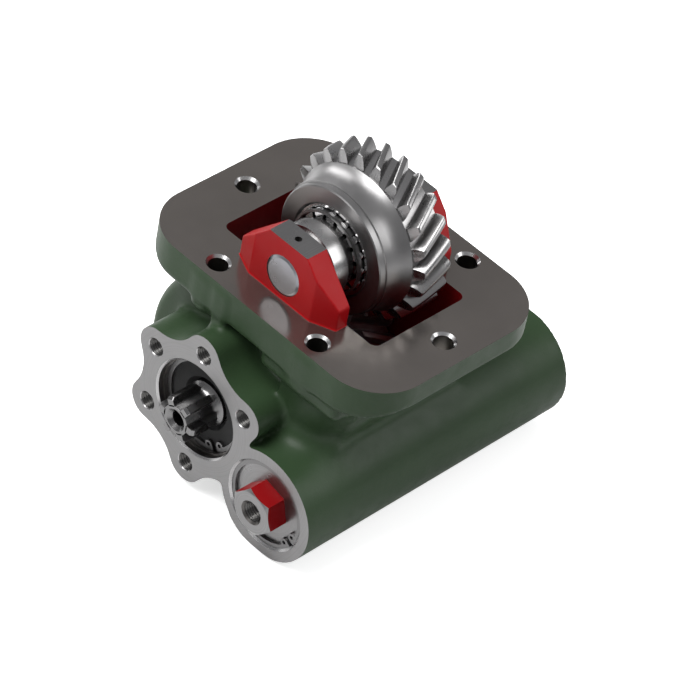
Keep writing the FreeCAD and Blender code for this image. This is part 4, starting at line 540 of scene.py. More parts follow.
def casting_field(x, y, z):
    """The outside of the casting, with machining allowance on the faces that are cut."""
    outline = plate_distance(x, y, FLANGE_HALF, FLANGE_CORNER)
    skirt = SKIRT_DEPTH * np.clip((SKIRT_RUN - FLANGE_HALF[1] - y) / SKIRT_RUN, 0.0, 1.0)
    flange = edge_round(outline, -FLANGE_THICK - skirt - z, 2.0)
    flange = np.maximum(flange, z - ALLOWANCE)
    lean = 0.894 * (x - NECK_HALF[0]) - 0.447 * (z + LEAN_START)
    neck = np.maximum(plate_distance(x, y + 1.0, NECK_HALF, 9.0), slab(z, -73.0, -4.0))
    neck = meet(neck, lean, 3.0)
    drum = edge_round(bar_distance(x, z, OUTPUT_AXIS, DRUM_RADIUS), slab(y, DRUM_FRONT, DRUM_REAR), 6.0)
    tube = bar_distance(x, z, SHIFT_AXIS, TUBE_RADIUS)
    tube = np.maximum(edge_round(tube, y - TUBE_REAR, 1.0), STAR_FACE - ALLOWANCE - y)
    sump = ((OUTPUT_AXIS[0], DRUM_FRONT, GROUND), (SHIFT_AXIS[0], DRUM_REAR, SHIFT_AXIS[1]))
    star = np.maximum(star_distance(x, z), slab(y, STAR_FACE - ALLOWANCE, DRUM_FRONT + 6.0))
    rear_boss = edge_round(bar_distance(x, z, OUTPUT_AXIS, REAR_BOSS), slab(y, 30.0, 50.0), 1.0)
    wall = meet(box_distance(x, y, z, WALL, 2.0), lean, 28.0)
    web = meet(blend(wall, tube, 15.0), WALL_LEFT - x, 1.2)
    body = neck
    for form, fillet in (
        (drum, 10.0),
        (tube, 10.0),
        (web, 3.0),
        (box_distance(x, y, z, sump, 3.0), 6.0),
        (rear_boss, 4.0),
        (star, 3.0),
        (box_distance(x, y, z, RIB, 1.5), 4.0),
        (box_distance(x, y, z, PAD, 4.5), 4.5),
    ):
        body = blend(body, form, fillet)
    for along, across in SIDE_BOLTS:
        boss = edge_round(np.hypot(x - along, y - across) - BOSS_RADIUS, slab(z, -26.0, -3.0), 3.0)
        body = blend(body, np.maximum(boss, outline), 6.0)
    body = blend(body, flange, 3.0)
    return meet(body, GROUND - z, 2.0)


def skin(field, low, high, step):
    """Corners and faces of a field's zero surface: one corner in each cell that it passes through."""
    axes = [np.arange(a, b + step, step) for a, b in zip(low, high)]
    x, y, z = np.meshgrid(*axes, indexing="ij", sparse=True)
    depth = np.asarray(field(x, y, z), np.float32)
    depth = np.where(np.abs(depth) < 1e-5, np.float32(1e-5), depth)
    shape = tuple(n - 1 for n in depth.shape)
    total = np.zeros((3,) + shape, np.float32)
    crossings = np.zeros(shape, np.float32)

    def corner(a, b, c):
        return depth[a : a + shape[0], b : b + shape[1], c : c + shape[2]]

    for axis in range(3):
        for pair in ((0, 0), (0, 1), (1, 0), (1, 1)):
            start = (*pair[:axis], 0, *pair[axis:])
            one, two = corner(*start), corner(*pair[:axis], 1, *pair[axis:])
            crosses = (one < 0) != (two < 0)
            share = np.where(crosses, one / np.where(crosses, one - two, 1.0), 0.0)
            for side in range(3):
                total[side] += np.where(crosses, share if side == axis else start[side], 0.0)
            crossings += crosses
    active = crossings > 0
    number = np.full(shape, -1, np.int64)
    number[active] = np.arange(active.sum())
    cells = np.argwhere(active)
    shares = (total[:, active] / crossings[active]).T
    corners = np.array([axis[0] for axis in axes]) + step * (cells + shares)
    faces = []
    for axis in range(3):
        one = depth[tuple(slice(0, -1) if side == axis else slice(1, -1) for side in range(3))] < 0
        two = depth[tuple(slice(1, None) if side == axis else slice(1, -1) for side in range(3))] < 0
        others = [side for side in range(3) if side != axis]
        for inside, flip in ((one & ~two, False), (~one & two, True)):
            quad = []
            for shift in ((0, 0), (1, 0), (1, 1), (0, 1)):
                place = np.argwhere(inside)
                place[:, others] += shift
                quad.append(number[tuple(place.T)])
            quad = np.stack(quad, axis=1)
            faces.append(quad[:, ::-1] if flip != (axis == 1) else quad)
    for _ in range(3):
        corners = onto_surface(field, corners, step)
    return corners, [tuple(face) for face in np.concatenate(faces).tolist()]


def onto_surface(field, corners, step):
    """Move corners along the slope of the field to where it is zero."""
    x, y, z = corners.T
    small = 0.02
    here = field(x, y, z)
    slope = [field(x + small, y, z) - here, field(x, y + small, z) - here, field(x, y, z + small) - here]
    slope = np.stack(slope, axis=1) / small
    length = np.maximum((slope * slope).sum(axis=1), 0.25)
    move = np.clip(here / length, -0.5 * step, 0.5 * step)
    return corners - slope * move[:, None]


# The casting

def hole_foot(spot):
    """Where a mounting hole ends: under the pad, under its boss, or under the flange at the ends."""
    if spot in END_BOLTS:
        return -20.0
    return -31.5 if spot[0] > 0 > spot[1] else -26.5


def bolt_hole(spot):
    foot, side, mouth = hole_foot(spot), BOLT_RADIUS, BOLT_RADIUS + BOLT_CHAMFER
    profile = [(0, foot), (side, foot), (side, -BOLT_CHAMFER), (mouth, 0), (mouth + 2, 2), (0, 2)]
    return lathe(profile, spot, 48, upright=True)


def tap_hole(spot):
    wall, mouth = TAP_RADIUS + THREAD_DEPTH, 5.3
    profile = [
        (0, STAR_FACE - 2), (mouth + 2, STAR_FACE - 2), (mouth, STAR_FACE), (wall, STAR_FACE + 0.5),
        (wall, STAR_FACE + 20), (0, STAR_FACE + 22.5),
    ]
    return lathe(profile, spot, 40)


def grooved(bore, groove, start, finish):
    """Points of a ring groove in a bore."""
    return [(bore, start), (groove, start), (groove, finish), (bore, finish)]


def stepped_bores():
    """Bores of the output flange, the shift cylinder and the rear bearing."""
    front = STAR_FACE
    output = [
        (0, front - 3), (PILOT_BORE + 4, front - 3), (PILOT_BORE, front + 1), (PILOT_BORE, front + 4),
        (BEARING_BORE, front + 4), *grooved(BEARING_BORE, SEAL_RING_GROOVE, -68.95, -67.15),
        (BEARING_BORE, BEARING_STOP), (22.0, BEARING_STOP), (22.0, -40.0), (0, -40.0),
    ]
    shift = [
        (0, front - 3), (CYLINDER_RADIUS + 4.2, front - 3),
        *grooved(CYLINDER_RADIUS, CAP_RING_GROOVE, -74.1, -72.3), (CYLINDER_RADIUS, DRUM_FRONT),
        (ROD_BORE, DRUM_FRONT), (ROD_BORE, DRUM_REAR), (SPRING_BORE, DRUM_REAR), (SPRING_BORE, PLUG_SEAT),
        (PLUG_BORE, PLUG_SEAT), (PLUG_BORE, 118.0), (0, 118.0),
    ]
    rear = bar(BEARING_BORE, 30.0, 52.0, OUTPUT_AXIS)
    return [lathe(output, OUTPUT_AXIS, 128), lathe(shift, SHIFT_AXIS, 128), rear]


def opening_solid():
    """The gear opening: upright walls, the right one leaning in below."""
    outline = rounded_rectangle(OPENING_HALF, OPENING_CORNER, 6)
    levels = ((10.0, 0.0), (-LEAN_START, 0.0), (-LEAN_END, LEAN_RUN), (OUTPUT_AXIS[1], LEAN_RUN))
    edge = OPENING_HALF[0]
    return loft([[(min(x, edge - lean), y, level) for x, y in outline] for level, lean in levels])


def near(points, spot, radius, across=2):
    """Which points lie within a radius of a line along Y, or along Z where across is 1."""
    return np.hypot(points[:, 0] - spot[0], points[:, across] - spot[1]) < radius


def between(values, low, high):
    return (values > low) & (values < high)


# Finishes of the case, in the order of its materials, and how near a face centre has to be; the red inside,
# the bores and the drilled holes are darker copies that carry painted shade
PAINTED, SHADED_RED_INSIDE, MILLED_TOP, MILLED_FRONT, SHADED_BORED, BROKEN_EDGE, SHADED_DRILLED = range(7)
CLOSE = 0.02


def paint_casting(mesh):
    """Give each face of the casting the finish of its place; the inside, the bores and the holes get darker
    copies with painted shade.
    """
    count = len(mesh.polygons)
    centres = np.zeros(count * 3)
    normals = np.zeros(count * 3)
    mesh.polygons.foreach_get("center", centres)
    mesh.polygons.foreach_get("normal", normals)
    p = centres.reshape(-1, 3) / MM
    n = normals.reshape(-1, 3)
    x, y, z = p.T
    face = STAR_FACE + CLOSE
    right = OPENING_HALF[0] + 0.2 - np.clip((-LEAN_START - z) / 2, 0.0, LEAN_RUN)
    inside = between(x, -OPENING_HALF[0] - 0.2, right) & (np.abs(y) < OPENING_HALF[1] + 0.2)
    inside &= between(z, OUTPUT_AXIS[1] - 0.2, 0.5)
    for axis, reach in ((OUTPUT_AXIS, CAVITY_RADIUS + 0.2), (SHIFT_AXIS, CYLINDER_RADIUS + 0.15)):
        inside |= near(p, axis, reach) & between(y, CAVITY_ENDS[0] - 0.2, CAVITY_ENDS[1] + 0.2)
    bored = near(p, OUTPUT_AXIS, 28.3) & between(y, face, -40.9)
    bored |= near(p, OUTPUT_AXIS, 26.2) & (y > 32.0)
    bored |= near(p, SHIFT_AXIS, 25.7) & between(y, face, DRUM_FRONT + 0.2)
    bored |= near(p, SHIFT_AXIS, 22.2) & (y > DRUM_REAR - 0.2) & (np.abs(y - TUBE_REAR) > CLOSE)
    chamfer = near(p, OUTPUT_AXIS, 28.3) & between(y, face, STAR_FACE + 1.05)
    chamfer |= near(p, SHIFT_AXIS, 28.0) & between(y, face, STAR_FACE + 1.25)
    for spot in TAP_SPOTS:
        bored |= near(p, spot, 5.5) & between(y, face, STAR_FACE + 23)
        chamfer |= near(p, spot, 5.5) & between(y, face, STAR_FACE + 0.52)
    drilled = np.zeros(count, bool)
    for spot in BOLT_SPOTS:
        bored |= near(p, spot, 6.75, 1) & between(z, -FLANGE_THICK, -CLOSE)
        chamfer |= near(p, spot, 6.75, 1) & between(z, -1.36, -CLOSE)
        drilled |= near(p, spot, 5.5, 1) & between(z, hole_foot(spot) - 0.1, -1.3)
    index = np.full(count, PAINTED, np.int32)
    index[inside] = SHADED_RED_INSIDE
    index[(np.abs(z) < CLOSE) & (n[:, 2] > 0.99)] = MILLED_TOP
    index[(np.abs(y - STAR_FACE) < CLOSE) & (n[:, 1] < -0.99)] = MILLED_FRONT
    index[bored] = SHADED_BORED
    index[drilled] = SHADED_DRILLED
    index[chamfer] = BROKEN_EDGE
    mesh.polygons.foreach_set("material_index", index)
    mesh.update()


class PTO_OT_casting(bpy.types.Operator):
    """Cast case: filleted outside, machined faces and bores"""

    bl_idname = "pto.casting"
    bl_label = "Casting"

    def execute(self, context):
        chosen = settings("casting")
        metals = settings("metal")
        step = chosen.step / MM * 1.0
        low, high = (-90.0, -83.0, GROUND - 4.0), (90.0, 118.0, ALLOWANCE + 4.0)
        corners, faces = skin(casting_field, low, high, step)
        corners[:, 1] = np.minimum(corners[:, 1], TUBE_REAR)
        mesh = mesh_from("cast_case", corners, faces)
        piece = new_object("cast_case", mesh, "case", ["housing"])
        top = block((-100, 100), (-80, 80), (0.0, 20.0))
        front = block((-90, 90), (-95, STAR_FACE), (-140.0, -3.0))
        cut_with(piece, together(top, front))
        cut_with(piece, opening_solid())
        start, finish = CAVITY_ENDS
        cut_with(piece, bar(CAVITY_RADIUS, start, finish, OUTPUT_AXIS, 128))
        cut_with(piece, bar(CYLINDER_RADIUS, start, finish, SHIFT_AXIS))
        front_guide = bar(GUIDE_RADIUS, start - 2, start + GUIDE_LENGTH, SHIFT_AXIS, 64)
        rear_guide = bar(GUIDE_RADIUS, finish - GUIDE_LENGTH, finish + 2, SHIFT_AXIS, 64)
        cut_with(piece, together(front_guide, rear_guide), "UNION")
        holes = [bolt_hole(spot) for spot in BOLT_SPOTS] + [tap_hole(spot) for spot in TAP_SPOTS]
        cut_with(piece, together(*stepped_bores(), *holes))
        set_materials(
            piece.data,
            paint("green_paint", chosen.paint),
            # Red paint darkened by painted shade for the inside of the case
            paint("red_inside_painted_shade", toned(chosen.red, 0.6), 0.5),
            even_metal("milled_flange", metals.flange, 0.20, 0.9, 0.003),
            metal("milled_front", metals.milled, 0.36, OUTPUT_AXIS, 1500.0, 0.04, 0.9),
            bore_painted_shade(),
            metal("chamfer_steel", toned(metals.polished, 0.85), 0.25, OUTPUT_AXIS, 1500.0, 0.04),
            # Bolt hole metal darkened to a painted shade
            metal("drilled_holes_painted_shade", (0.115, 0.105, 0.095), 0.4, OUTPUT_AXIS, 1200.0, 0.1),
        )
        paint_casting(piece.data)
        smooth(piece.data, 32)
        return {"FINISHED"}


# Ears that hold the idler pin

EAR_THICK = 13.4
EAR_BASE = 34.5
EAR_TOP = 13.3
EAR_SHOULDER = 12.0
EAR_HEIGHT = 34.4
EAR_BEVEL_RUN = 13.0
EAR_BEVEL_DEPTH = 5.9
EAR_INNER = -OPENING_HALF[1]
EAR_OUTER = EAR_INNER - EAR_THICK
EAR_MIDDLE = (EAR_INNER + EAR_OUTER) / 2
PIN_HOLE = 11.2
LOCK_HOLE = 1.9
LOCK_FOOT = 18


def ear_field(x, y, z):
    """The front ear with softly broken edges and a foot fillet."""
    side = np.abs(x) - EAR_BASE
    run = (EAR_BASE - EAR_TOP, EAR_HEIGHT - EAR_SHOULDER)
    slope = (side * run[1] + (z - EAR_SHOULDER) * run[0]) / math.hypot(*run)
    form = meet(meet(side, slope, 0.8), y - EAR_INNER, 0.6)
    bevel = (EAR_OUTER - y) * EAR_BEVEL_RUN + (side + EAR_BEVEL_RUN) * EAR_BEVEL_DEPTH
    bevel = bevel / math.hypot(EAR_BEVEL_RUN, EAR_BEVEL_DEPTH)
    form = meet(form, meet(EAR_OUTER - y, bevel, 0.3), 0.5)
    form = blend(form, z + 0.4, 1.6)
    keep = np.maximum(side - 2, slab(y, EAR_OUTER - 2, EAR_INNER))
    return np.maximum(form, np.maximum(keep, slab(z, -2.0, EAR_HEIGHT + 2)))


class PTO_OT_ears(bpy.types.Operator):
    """Painted ears on both sides of the opening"""

    bl_idname = "pto.ears"
    bl_label = "Pin ears"

    def execute(self, context):
        low, high = (-42.0, EAR_OUTER - 7, -4.0), (42.0, EAR_INNER + 3, EAR_HEIGHT + 4)
        corners, faces = skin(ear_field, low, high, 0.6)
        red = paint("red_ears", settings("casting").red, 0.36, 0.08, 0.12)
        ground = metal("milled_ear", settings("metal").milled, 0.3, pitch=1400.0, rings=0.0)
        for name, hand in (("front_ear", 1), ("rear_ear", -1)):
            sides = faces if hand == 1 else [face[::-1] for face in faces]
            mesh = mesh_from(name, corners * np.array([1, hand, 1]), sides)
            piece = new_object(name, mesh, "case")
            low, high = sorted((hand * (EAR_OUTER - 8), hand * (EAR_INNER + 5)))
            above = block((-50, 50), (low, high), (EAR_HEIGHT, EAR_HEIGHT + 10))
            below = block((-50, 50), (low, high), (-8, -0.01))
            cut_with(piece, together(above, below))
            cut_with(piece, bar(PIN_HOLE, low - 2, high + 2, IDLER_AXIS))
            if hand == 1:
                cut_with(piece, bar(LOCK_HOLE, LOCK_FOOT, 40, (0.0, EAR_MIDDLE), 32, upright=True))
            mesh = piece.data
            # The pin and lock holes take bore metal darkened to a painted shade
            set_materials(mesh, red, ground, bore_painted_shade())
            for face in mesh.polygons:
                x, y, z = face.center / MM
                pinned = math.hypot(x, z - IDLER_AXIS[1]) < PIN_HOLE + 0.1
                locked = math.hypot(x, abs(y) + EAR_MIDDLE) < LOCK_HOLE + 0.1 and z > LOCK_FOOT
                if abs(z - EAR_HEIGHT) < CLOSE and face.normal.z > 0.99:
                    face.material_index = 1
                elif pinned or locked:
                    face.material_index = 2
            smooth(mesh, 32)
        return {"FINISHED"}


# Gears

END_CONE = 0.42
PRESSURE_ANGLE = math.radians(20)
BACKLASH = 0.16
TOOTH_PHASE = math.radians(5.7)
TOOTH_START = 4.5
TOOTH_WIDTH = 21.0
TOOTH_END = TOOTH_START + TOOTH_WIDTH


def pitch_radius(teeth, module, helix):
    return teeth * module / math.cos(helix) / 2


def tooth_half(teeth, module, helix):
    """Points of half a tooth from gap to tip: radius, and angle from the tooth's middle."""
    pitch = pitch_radius(teeth, module, helix)
    tip, root = pitch + module, pitch - 1.25 * module
    slant = math.atan(math.tan(PRESSURE_ANGLE) / math.cos(helix))
    base = pitch * math.cos(slant)
    half = (math.pi * pitch / teeth - BACKLASH) / 2 / pitch

    def spread(radius):
        lean = math.acos(base / max(radius, base))
        return half + (math.tan(slant) - slant) - (math.tan(lean) - lean)

    gap, foot = math.pi / teeth, spread(base)
    points = [(root, gap), (root, (gap + foot) / 2 + 0.008)]
    points += [(root + 0.12, foot + 0.016), (root + 0.5, foot + 0.004)]
    for radius in np.linspace(max(root + 1.0, base), tip - 0.35, 9):
        points.append((radius, spread(radius)))
    return points + [(tip - 0.1, spread(tip) - 0.003), (tip, spread(tip) - 0.010)], root


def toothed_ring(teeth, module, helix):
    """The idler's helical teeth with broken and coned ends, standing on a ring."""
    half, root = tooth_half(teeth, module, helix)
    lead = math.tan(helix) / pitch_radius(teeth, module, helix)
    side = np.array(half + [(radius, -angle) for radius, angle in half[:0:-1]])
    radius = np.tile(side[:, 0], teeth)
    turns = TOOTH_PHASE + 2 * math.pi * np.arange(teeth) / teeth
    angle = (turns[:, None] - side[:, 1]).ravel()
    width = TOOTH_WIDTH
    depths = [0.0, 0.35, 0.9, *np.linspace(1.8, width - 1.8, 15), width - 0.9, width - 0.35, width]
    inner = np.full(len(radius), root - 2.5)
    rows = [(0.0, inner)]
    for depth in depths:
        shrink = max(0.0, 0.5 - min(depth, width - depth))
        rows.append((depth, np.minimum(radius, radius.max() - shrink)))
    rows.append((width, inner))
    corners = []
    for depth, reach in rows:
        cone = np.maximum(END_CONE * (reach - root), 0.0)
        place = cone + depth * (width - cone) / width
        turn = angle + lead * (place - width)
        x, z = IDLER_AXIS[0] + reach * np.cos(turn), IDLER_AXIS[1] + reach * np.sin(turn)
        corners.extend(zip(x, TOOTH_START + place, z))
    return np.array(corners), strips(len(rows), len(radius), closed=True)


HUB_FRONT = -13.0
HUB_REAR = 30.0
HUB_FLARE = 39.9
CUP_BORE = 24.55
CUP_END_FRONT = 0.7
CUP_END_REAR = 9.7


def idler_hub():
    """Turned hub of the idler gear: polished rim, waist and flare to the teeth, stepped bore."""
    rim = [
        (25.8, 0.0), (34.2, 0.0), (34.8, 0.5), (35.1, 3.6), (35.3, 3.7), (35.9, 3.9), (36.0, 4.4),
        (36.3, 8.0), (36.8, 11.0), (37.6, 13.6), (38.7, 15.8), (HUB_FLARE, 17.6),
    ]
    rear = [
        (HUB_FLARE, TOOTH_END), (38.0, TOOTH_END + 0.2), (35.6, TOOTH_END + 1.6), (35.2, TOOTH_END + 2.4),
        (35.2, HUB_REAR - 0.9), (34.3, HUB_REAR), (25.6, HUB_REAR),
    ]
    bore = [
        (CUP_BORE, HUB_REAR - 1.0), (CUP_BORE, CUP_END_REAR), (19.0, CUP_END_REAR), (19.0, CUP_END_FRONT),
        (CUP_BORE, CUP_END_FRONT), (CUP_BORE, HUB_FRONT + 1.2),
    ]
    return lathe([(radius, HUB_FRONT + depth) for radius, depth in rim] + rear + bore, IDLER_AXIS, 160)


class PTO_OT_idler_gear(bpy.types.Operator):
    """Idler gear: helical teeth with broken ends on a turned hub"""

    bl_idname = "pto.idler_gear"
    bl_label = "Idler gear"

    def execute(self, context):
        chosen = settings("gear")
        ring = toothed_ring(chosen.teeth, chosen.module / MM, chosen.helix)
        flank = even_metal("tooth_steel", toned(chosen.steel, 0.82), 0.28, 1.0, 0.03)
        hub = even_metal("hub_steel", toned(chosen.steel, 0.66), 0.34)
        name, solid = "idler_gear_toothed", together(ring, idler_hub())
        mesh = solid_piece(name, solid, "idler", "gear_steel", ["idler_gear"], flank, hub).data

        def on_hub(centre, normal):
            reach = math.hypot(centre.x - IDLER_AXIS[0], centre.z - IDLER_AXIS[1])
            return reach < HUB_FLARE + 0.05 and not TOOTH_START + 0.2 < centre.y < TOOTH_END + 0.1

        faces_where(mesh, 1, on_hub)
        smooth(mesh, 28)
        return {"FINISHED"}


# Threads

def thread(name, centre, core, front, length, slot_name, finish, pitch=1.5):
    """A run of thread ridges lining a tapped hole of the case."""
    wall = core + THREAD_DEPTH
    profile = [(wall + 0.05, front), (wall, front + 0.05)]
    station = front + 0.3
    while station + pitch < front + length:
        profile += [(wall, station), (core, station + pitch * 0.45), (core, station + pitch * 0.55)]
        station += pitch
    profile += [(wall, front + length), (wall + 0.05, front + length)]
    piece = solid_piece(name, lathe(profile, centre, 40), "case", slot_name, (), finish)
    smooth(piece.data, 25)


PORT_RADIUS = 5.75
PORT_FRONT = -83.0


class PTO_OT_threads(bpy.types.Operator):
    """Threads in the tapped holes of the output flange and in the air port"""

    bl_idname = "pto.threads"
    bl_label = "Threads"

    def execute(self, context):
        # Thread metal darkened to a painted shade for the depth of the holes
        finish = metal("cut_thread_painted_shade", (0.10, 0.098, 0.095), 0.26)
        for number, spot in enumerate(TAP_SPOTS, start=1):
            name = "flange_thread_%d" % number
            thread(name, spot, TAP_RADIUS, STAR_FACE + 0.55, 19.0, "green_casting", finish)
        core = PORT_RADIUS - THREAD_DEPTH
        thread("air_port_thread", SHIFT_AXIS, core, PORT_FRONT, 11.0, "red_cap", finish)
        return {"FINISHED"}


# Output shaft

SHAFT_FRONT = -88.3
SHAFT_REAR = 47.8
SPLINE_ROOT = 8.5
SPLINE_REACH = 12.6
SPLINE_TOOTH = 4.1
SEAT_RADIUS = 12.5


def turned(axis, turn, out, over, station):
    """A point that lies out from an axis and over across, turned about it."""
    x = axis[0] + out * math.cos(turn) - over * math.sin(turn)
    return x, station, axis[1] + out * math.sin(turn) + over * math.cos(turn)


def spline_bar(angle, tooth, root, reach, start, finish, chamfer, run_out):
    """One straight-sided spline tooth, chamfered in front and run out at the rear."""
    half, edge = tooth / 2, 0.35
    section = [
        (root, -half), (root, half), (reach - edge, half), (reach, half - edge), (reach, edge - half),
        (reach - edge, -half),
    ]
    ends = ((start, chamfer), (start + chamfer, 0.0), (finish - run_out, 0.0), (finish, reach - root - 0.4))
    turn = math.radians(angle)
    return loft([
        [turned(OUTPUT_AXIS, turn, max(root, out - drop), over, station) for out, over in section]
        for station, drop in ends
    ])


class PTO_OT_output_shaft(bpy.types.Operator):
    """Output shaft: deep splines with run-outs in front, seats, sleeve spline and journal"""

    bl_idname = "pto.output_shaft"
    bl_label = "Output shaft"

    def execute(self, context):
        front, seat, root = SHAFT_FRONT, SEAT_RADIUS, SPLINE_ROOT
        profile = [
            (0, front + 24), (4.25, front + 24), (4.25, front + 2.15), (6.4, front), (8.3, front),
            (root, front + 0.7), (root, front + 16.5), (root + 0.6, front + 18.4), (root + 1.6, front + 19.6),
            (seat - 0.4, front + 20.9), (seat, front + 21.2), (seat, -44.95), (14.2, -44.95), (14.2, -10.0),
            (14.0, -9.6), (14.0, 31.8), (seat, 31.8), (seat, SHAFT_REAR - 1), (seat - 1, SHAFT_REAR),
            (0, SHAFT_REAR),
        ]
        solids = [lathe(profile, OUTPUT_AXIS)]
        for angle in range(0, 360, 60):
            ends = (front, front + 21.0, 1.3, 4.0)
            solids.append(spline_bar(angle, SPLINE_TOOTH, root - 1, SPLINE_REACH, *ends))
        for angle in range(0, 360, 45):
            solids.append(spline_bar(angle, 5.0, 13.5, 16.2, CAVITY_ENDS[0], -10.0, 0.6, 0.6))
        name, solid = "output_shaft_splined", together(*solids)
        steel = metal("shaft_steel", toned(settings("metal").polished, 0.42), 0.26, OUTPUT_AXIS, 700.0, 0.05)
        piece = solid_piece(name, solid, "shaft", "ground_steel", ["output_shaft"], steel)
        smooth(piece.data, 28)
        return {"FINISHED"}


# Return spring

SPRING_RADIUS = 14.0
SPRING_WIRE = 1.6
SPRING_TURNS = 6.0


def coil(start, finish, steps=240, sides=14):
    """Corners and faces of the wire, wound about the shift axis from one station to the other."""
    rise = (finish - start) / (2 * math.pi * SPRING_TURNS)
    tilt = math.atan2(rise, SPRING_RADIUS)
    rows = []
    for step in range(steps + 1):
        turn = 2 * math.pi * SPRING_TURNS * step / steps
        row = []
        for side in range(sides):
            out = SPRING_WIRE * math.cos(2 * math.pi * side / sides)
            over = SPRING_WIRE * math.sin(2 * math.pi * side / sides)
            station = start + rise * turn + over * math.cos(tilt)
            row.append(turned(SHIFT_AXIS, turn, SPRING_RADIUS + out, -over * math.sin(tilt), station))
        rows.append(row)
    return loft(rows)


class PTO_OT_return_spring(bpy.types.Operator):
    """Return spring, built as one fixed coil; in the unit it shortens as the piston is driven in"""

    bl_idname = "pto.return_spring"
    bl_label = "Return spring"

    def execute(self, context):
        low, high = (corner.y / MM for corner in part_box("return_spring"))
        name, wire = "return_spring_coil", coil(low + SPRING_WIRE, high - SPRING_WIRE)
        piece = solid_piece(name, wire, "case", "spring_steel", ["return_spring"], spring_steel())
        piece.data.shade_smooth()
        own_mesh(piece)
        return {"FINISHED"}


# Finishes of the pieces that keep their own solids

def finish_node(name, *materials):
    mesh = NODES[name].data
    set_materials(mesh, *materials)
    smooth(mesh, 30)
    return mesh


def both(*names):
    """Names of the front and of the rear piece of each kind."""
    return [end + name for name in names for end in ("front_", "rear_")]


# Steels by name: share of the polished colour, roughness, axis, pitch and depth of the marks, pieces
STEELS = {
    "polished_idler": (0.85, 0.24, IDLER_AXIS, 1300.0, 0.05, both("bearing_cup", "bearing_cone")),
    "washer_steel": (0.8, 0.27, IDLER_AXIS, 1100.0, 0.05, ["cone_spacer", *both("thrust_washer")]),
    "roller_steel": (1.15, 0.1, IDLER_AXIS, 900.0, 0.03, both("tapered_rollers")),
    "cage_steel": (0.55, 0.35, IDLER_AXIS, 800.0, 0.15, both("roller_cage", "ball_cage")),
    "polished_output": (
        1.0, 0.2, OUTPUT_AXIS, 1300.0, 0.10, both("bearing_inner_ring", "bearing_outer_ring", "gear_washer"),
    ),
    "ball_steel": (1.15, 0.08, OUTPUT_AXIS, 900.0, 0.02, both("bearing_balls")),
    "output_tooth_steel": (1.0, 0.35, OUTPUT_AXIS, 1100.0, 0.1, ["output_gear"]),
    "sleeve_steel": (0.8, 0.3, OUTPUT_AXIS, 1100.0, 0.2, ["clutch_sleeve"]),
    "polished_shift": (
        1.0, 0.2, SHIFT_AXIS, 1300.0, 0.10,
        ["shift_rod", "spring_collar", "fork_pin", "piston_nut", "collar_keeper"],
    ),
    "ring_steel": (0.4, 0.42, SHIFT_AXIS, 900.0, 0.05, ["cap_retaining_ring", "seal_retaining_ring"]),
}
RUBBER = (0.012, 0.012, 0.013)


class PTO_OT_steel_pieces(bpy.types.Operator):
    """Finishes of shafts, bearings, washers and gears"""

    bl_idname = "pto.steel_pieces"
    bl_label = "Shafts and bearings"

    def execute(self, context):
        metals = settings("metal")
        for name, (share, roughness, axis, pitch, bump, pieces) in STEELS.items():
            steel = metal(name, toned(metals.polished, share), roughness, axis, pitch, bump)
            for piece in pieces:
                finish_node(piece, steel)
        finish_node("idler_pin", even_metal("pin_steel", (0.255, 0.26, 0.28), 0.3))
        finish_node("idler_lock_pin", spring_steel())
        finish_node("output_gear_bush", metal("bush_bronze", (0.45, 0.27, 0.10), 0.3, OUTPUT_AXIS))
        iron = metal("fork_iron", (0.16, 0.155, 0.15), 0.5, SHIFT_AXIS, 500.0, 0.3, 0.6, 0.0)
        finish_node("shift_fork", iron)
        finish_node("shift_piston", metal("piston_alloy", (0.62, 0.62, 0.61), 0.3, SHIFT_AXIS))
        finish_node("cover_screws", metal("screw_steel", (0.25, 0.25, 0.25), 0.35, OUTPUT_AXIS))
        finish_node("rear_plug", metal("plug_steel", metals.milled, 0.34, SHIFT_AXIS, 1200.0, 0.15))
        finish_node("rear_cover", paint("green_cover", settings("casting").paint))
        rubber = shaded("seal_rubber", cast_grain_group(), {"Grain": 0.4}, RUBBER, 0.5, 0.0, 0.1, 0.0002)
        for name in ("cap_seal", "piston_seal", "rod_seal", "shaft_seal"):
            finish_node(name, rubber)
        return {"FINISHED"}


class PTO_OT_cap(bpy.types.Operator):
    """Cylinder cap: red hexagon with machined front and threaded port"""

    bl_idname = "pto.cap"
    bl_label = "Cylinder cap"

    def execute(self, context):
        face = metal("cap_face", settings("metal").milled, 0.32, SHIFT_AXIS, 1300.0, 0.14)
        red = paint("red_hexagon", toned(settings("casting").red, 0.75), 0.34, 0.08, 0.12)
        # The air port takes bore metal darkened to a painted shade
        mesh = finish_node("cylinder_cap", face, red, bore_painted_shade())
        disc_face = STAR_FACE + 3.0

        def reach(centre):
            return math.hypot(centre.x - SHIFT_AXIS[0], centre.z - SHIFT_AXIS[1])

        def on_hexagon(centre, normal):
            return centre.y < disc_face - 0.05 and abs(normal.y) < 0.2 and reach(centre) > 10

        def in_port(centre, normal):
            return reach(centre) < 7 and abs(normal.y) < 0.9

        faces_where(mesh, 1, on_hexagon)
        faces_where(mesh, 2, in_port)
        return {"FINISHED"}


# Stage

CAMERA_PLACE = (0.94327, -1.20835, 1.31354)
CAMERA_BACK = Vector((0.45416, -0.59116, 0.66654))
CAMERA_HEADING = math.radians(37.53)
CAMERA_ROLL = math.radians(11.8)
CAMERA_LENS = 208.53


def area_light(name, place, size, power):
    """A soft lamp that looks at the middle of the unit."""
    data = bpy.data.lights.new(name, "AREA")
    data.shape = "RECTANGLE"
    data.size, data.size_y = size
    data.energy = power
    lamp = bpy.data.objects.new(name, data)
    bpy.context.scene.collection.objects.link(lamp)
    lamp.location = place
    aim = Vector((0.0, 0.0, -0.03)) - Vector(place)
    lamp.rotation_euler = aim.to_track_quat("-Z", "Y").to_euler()


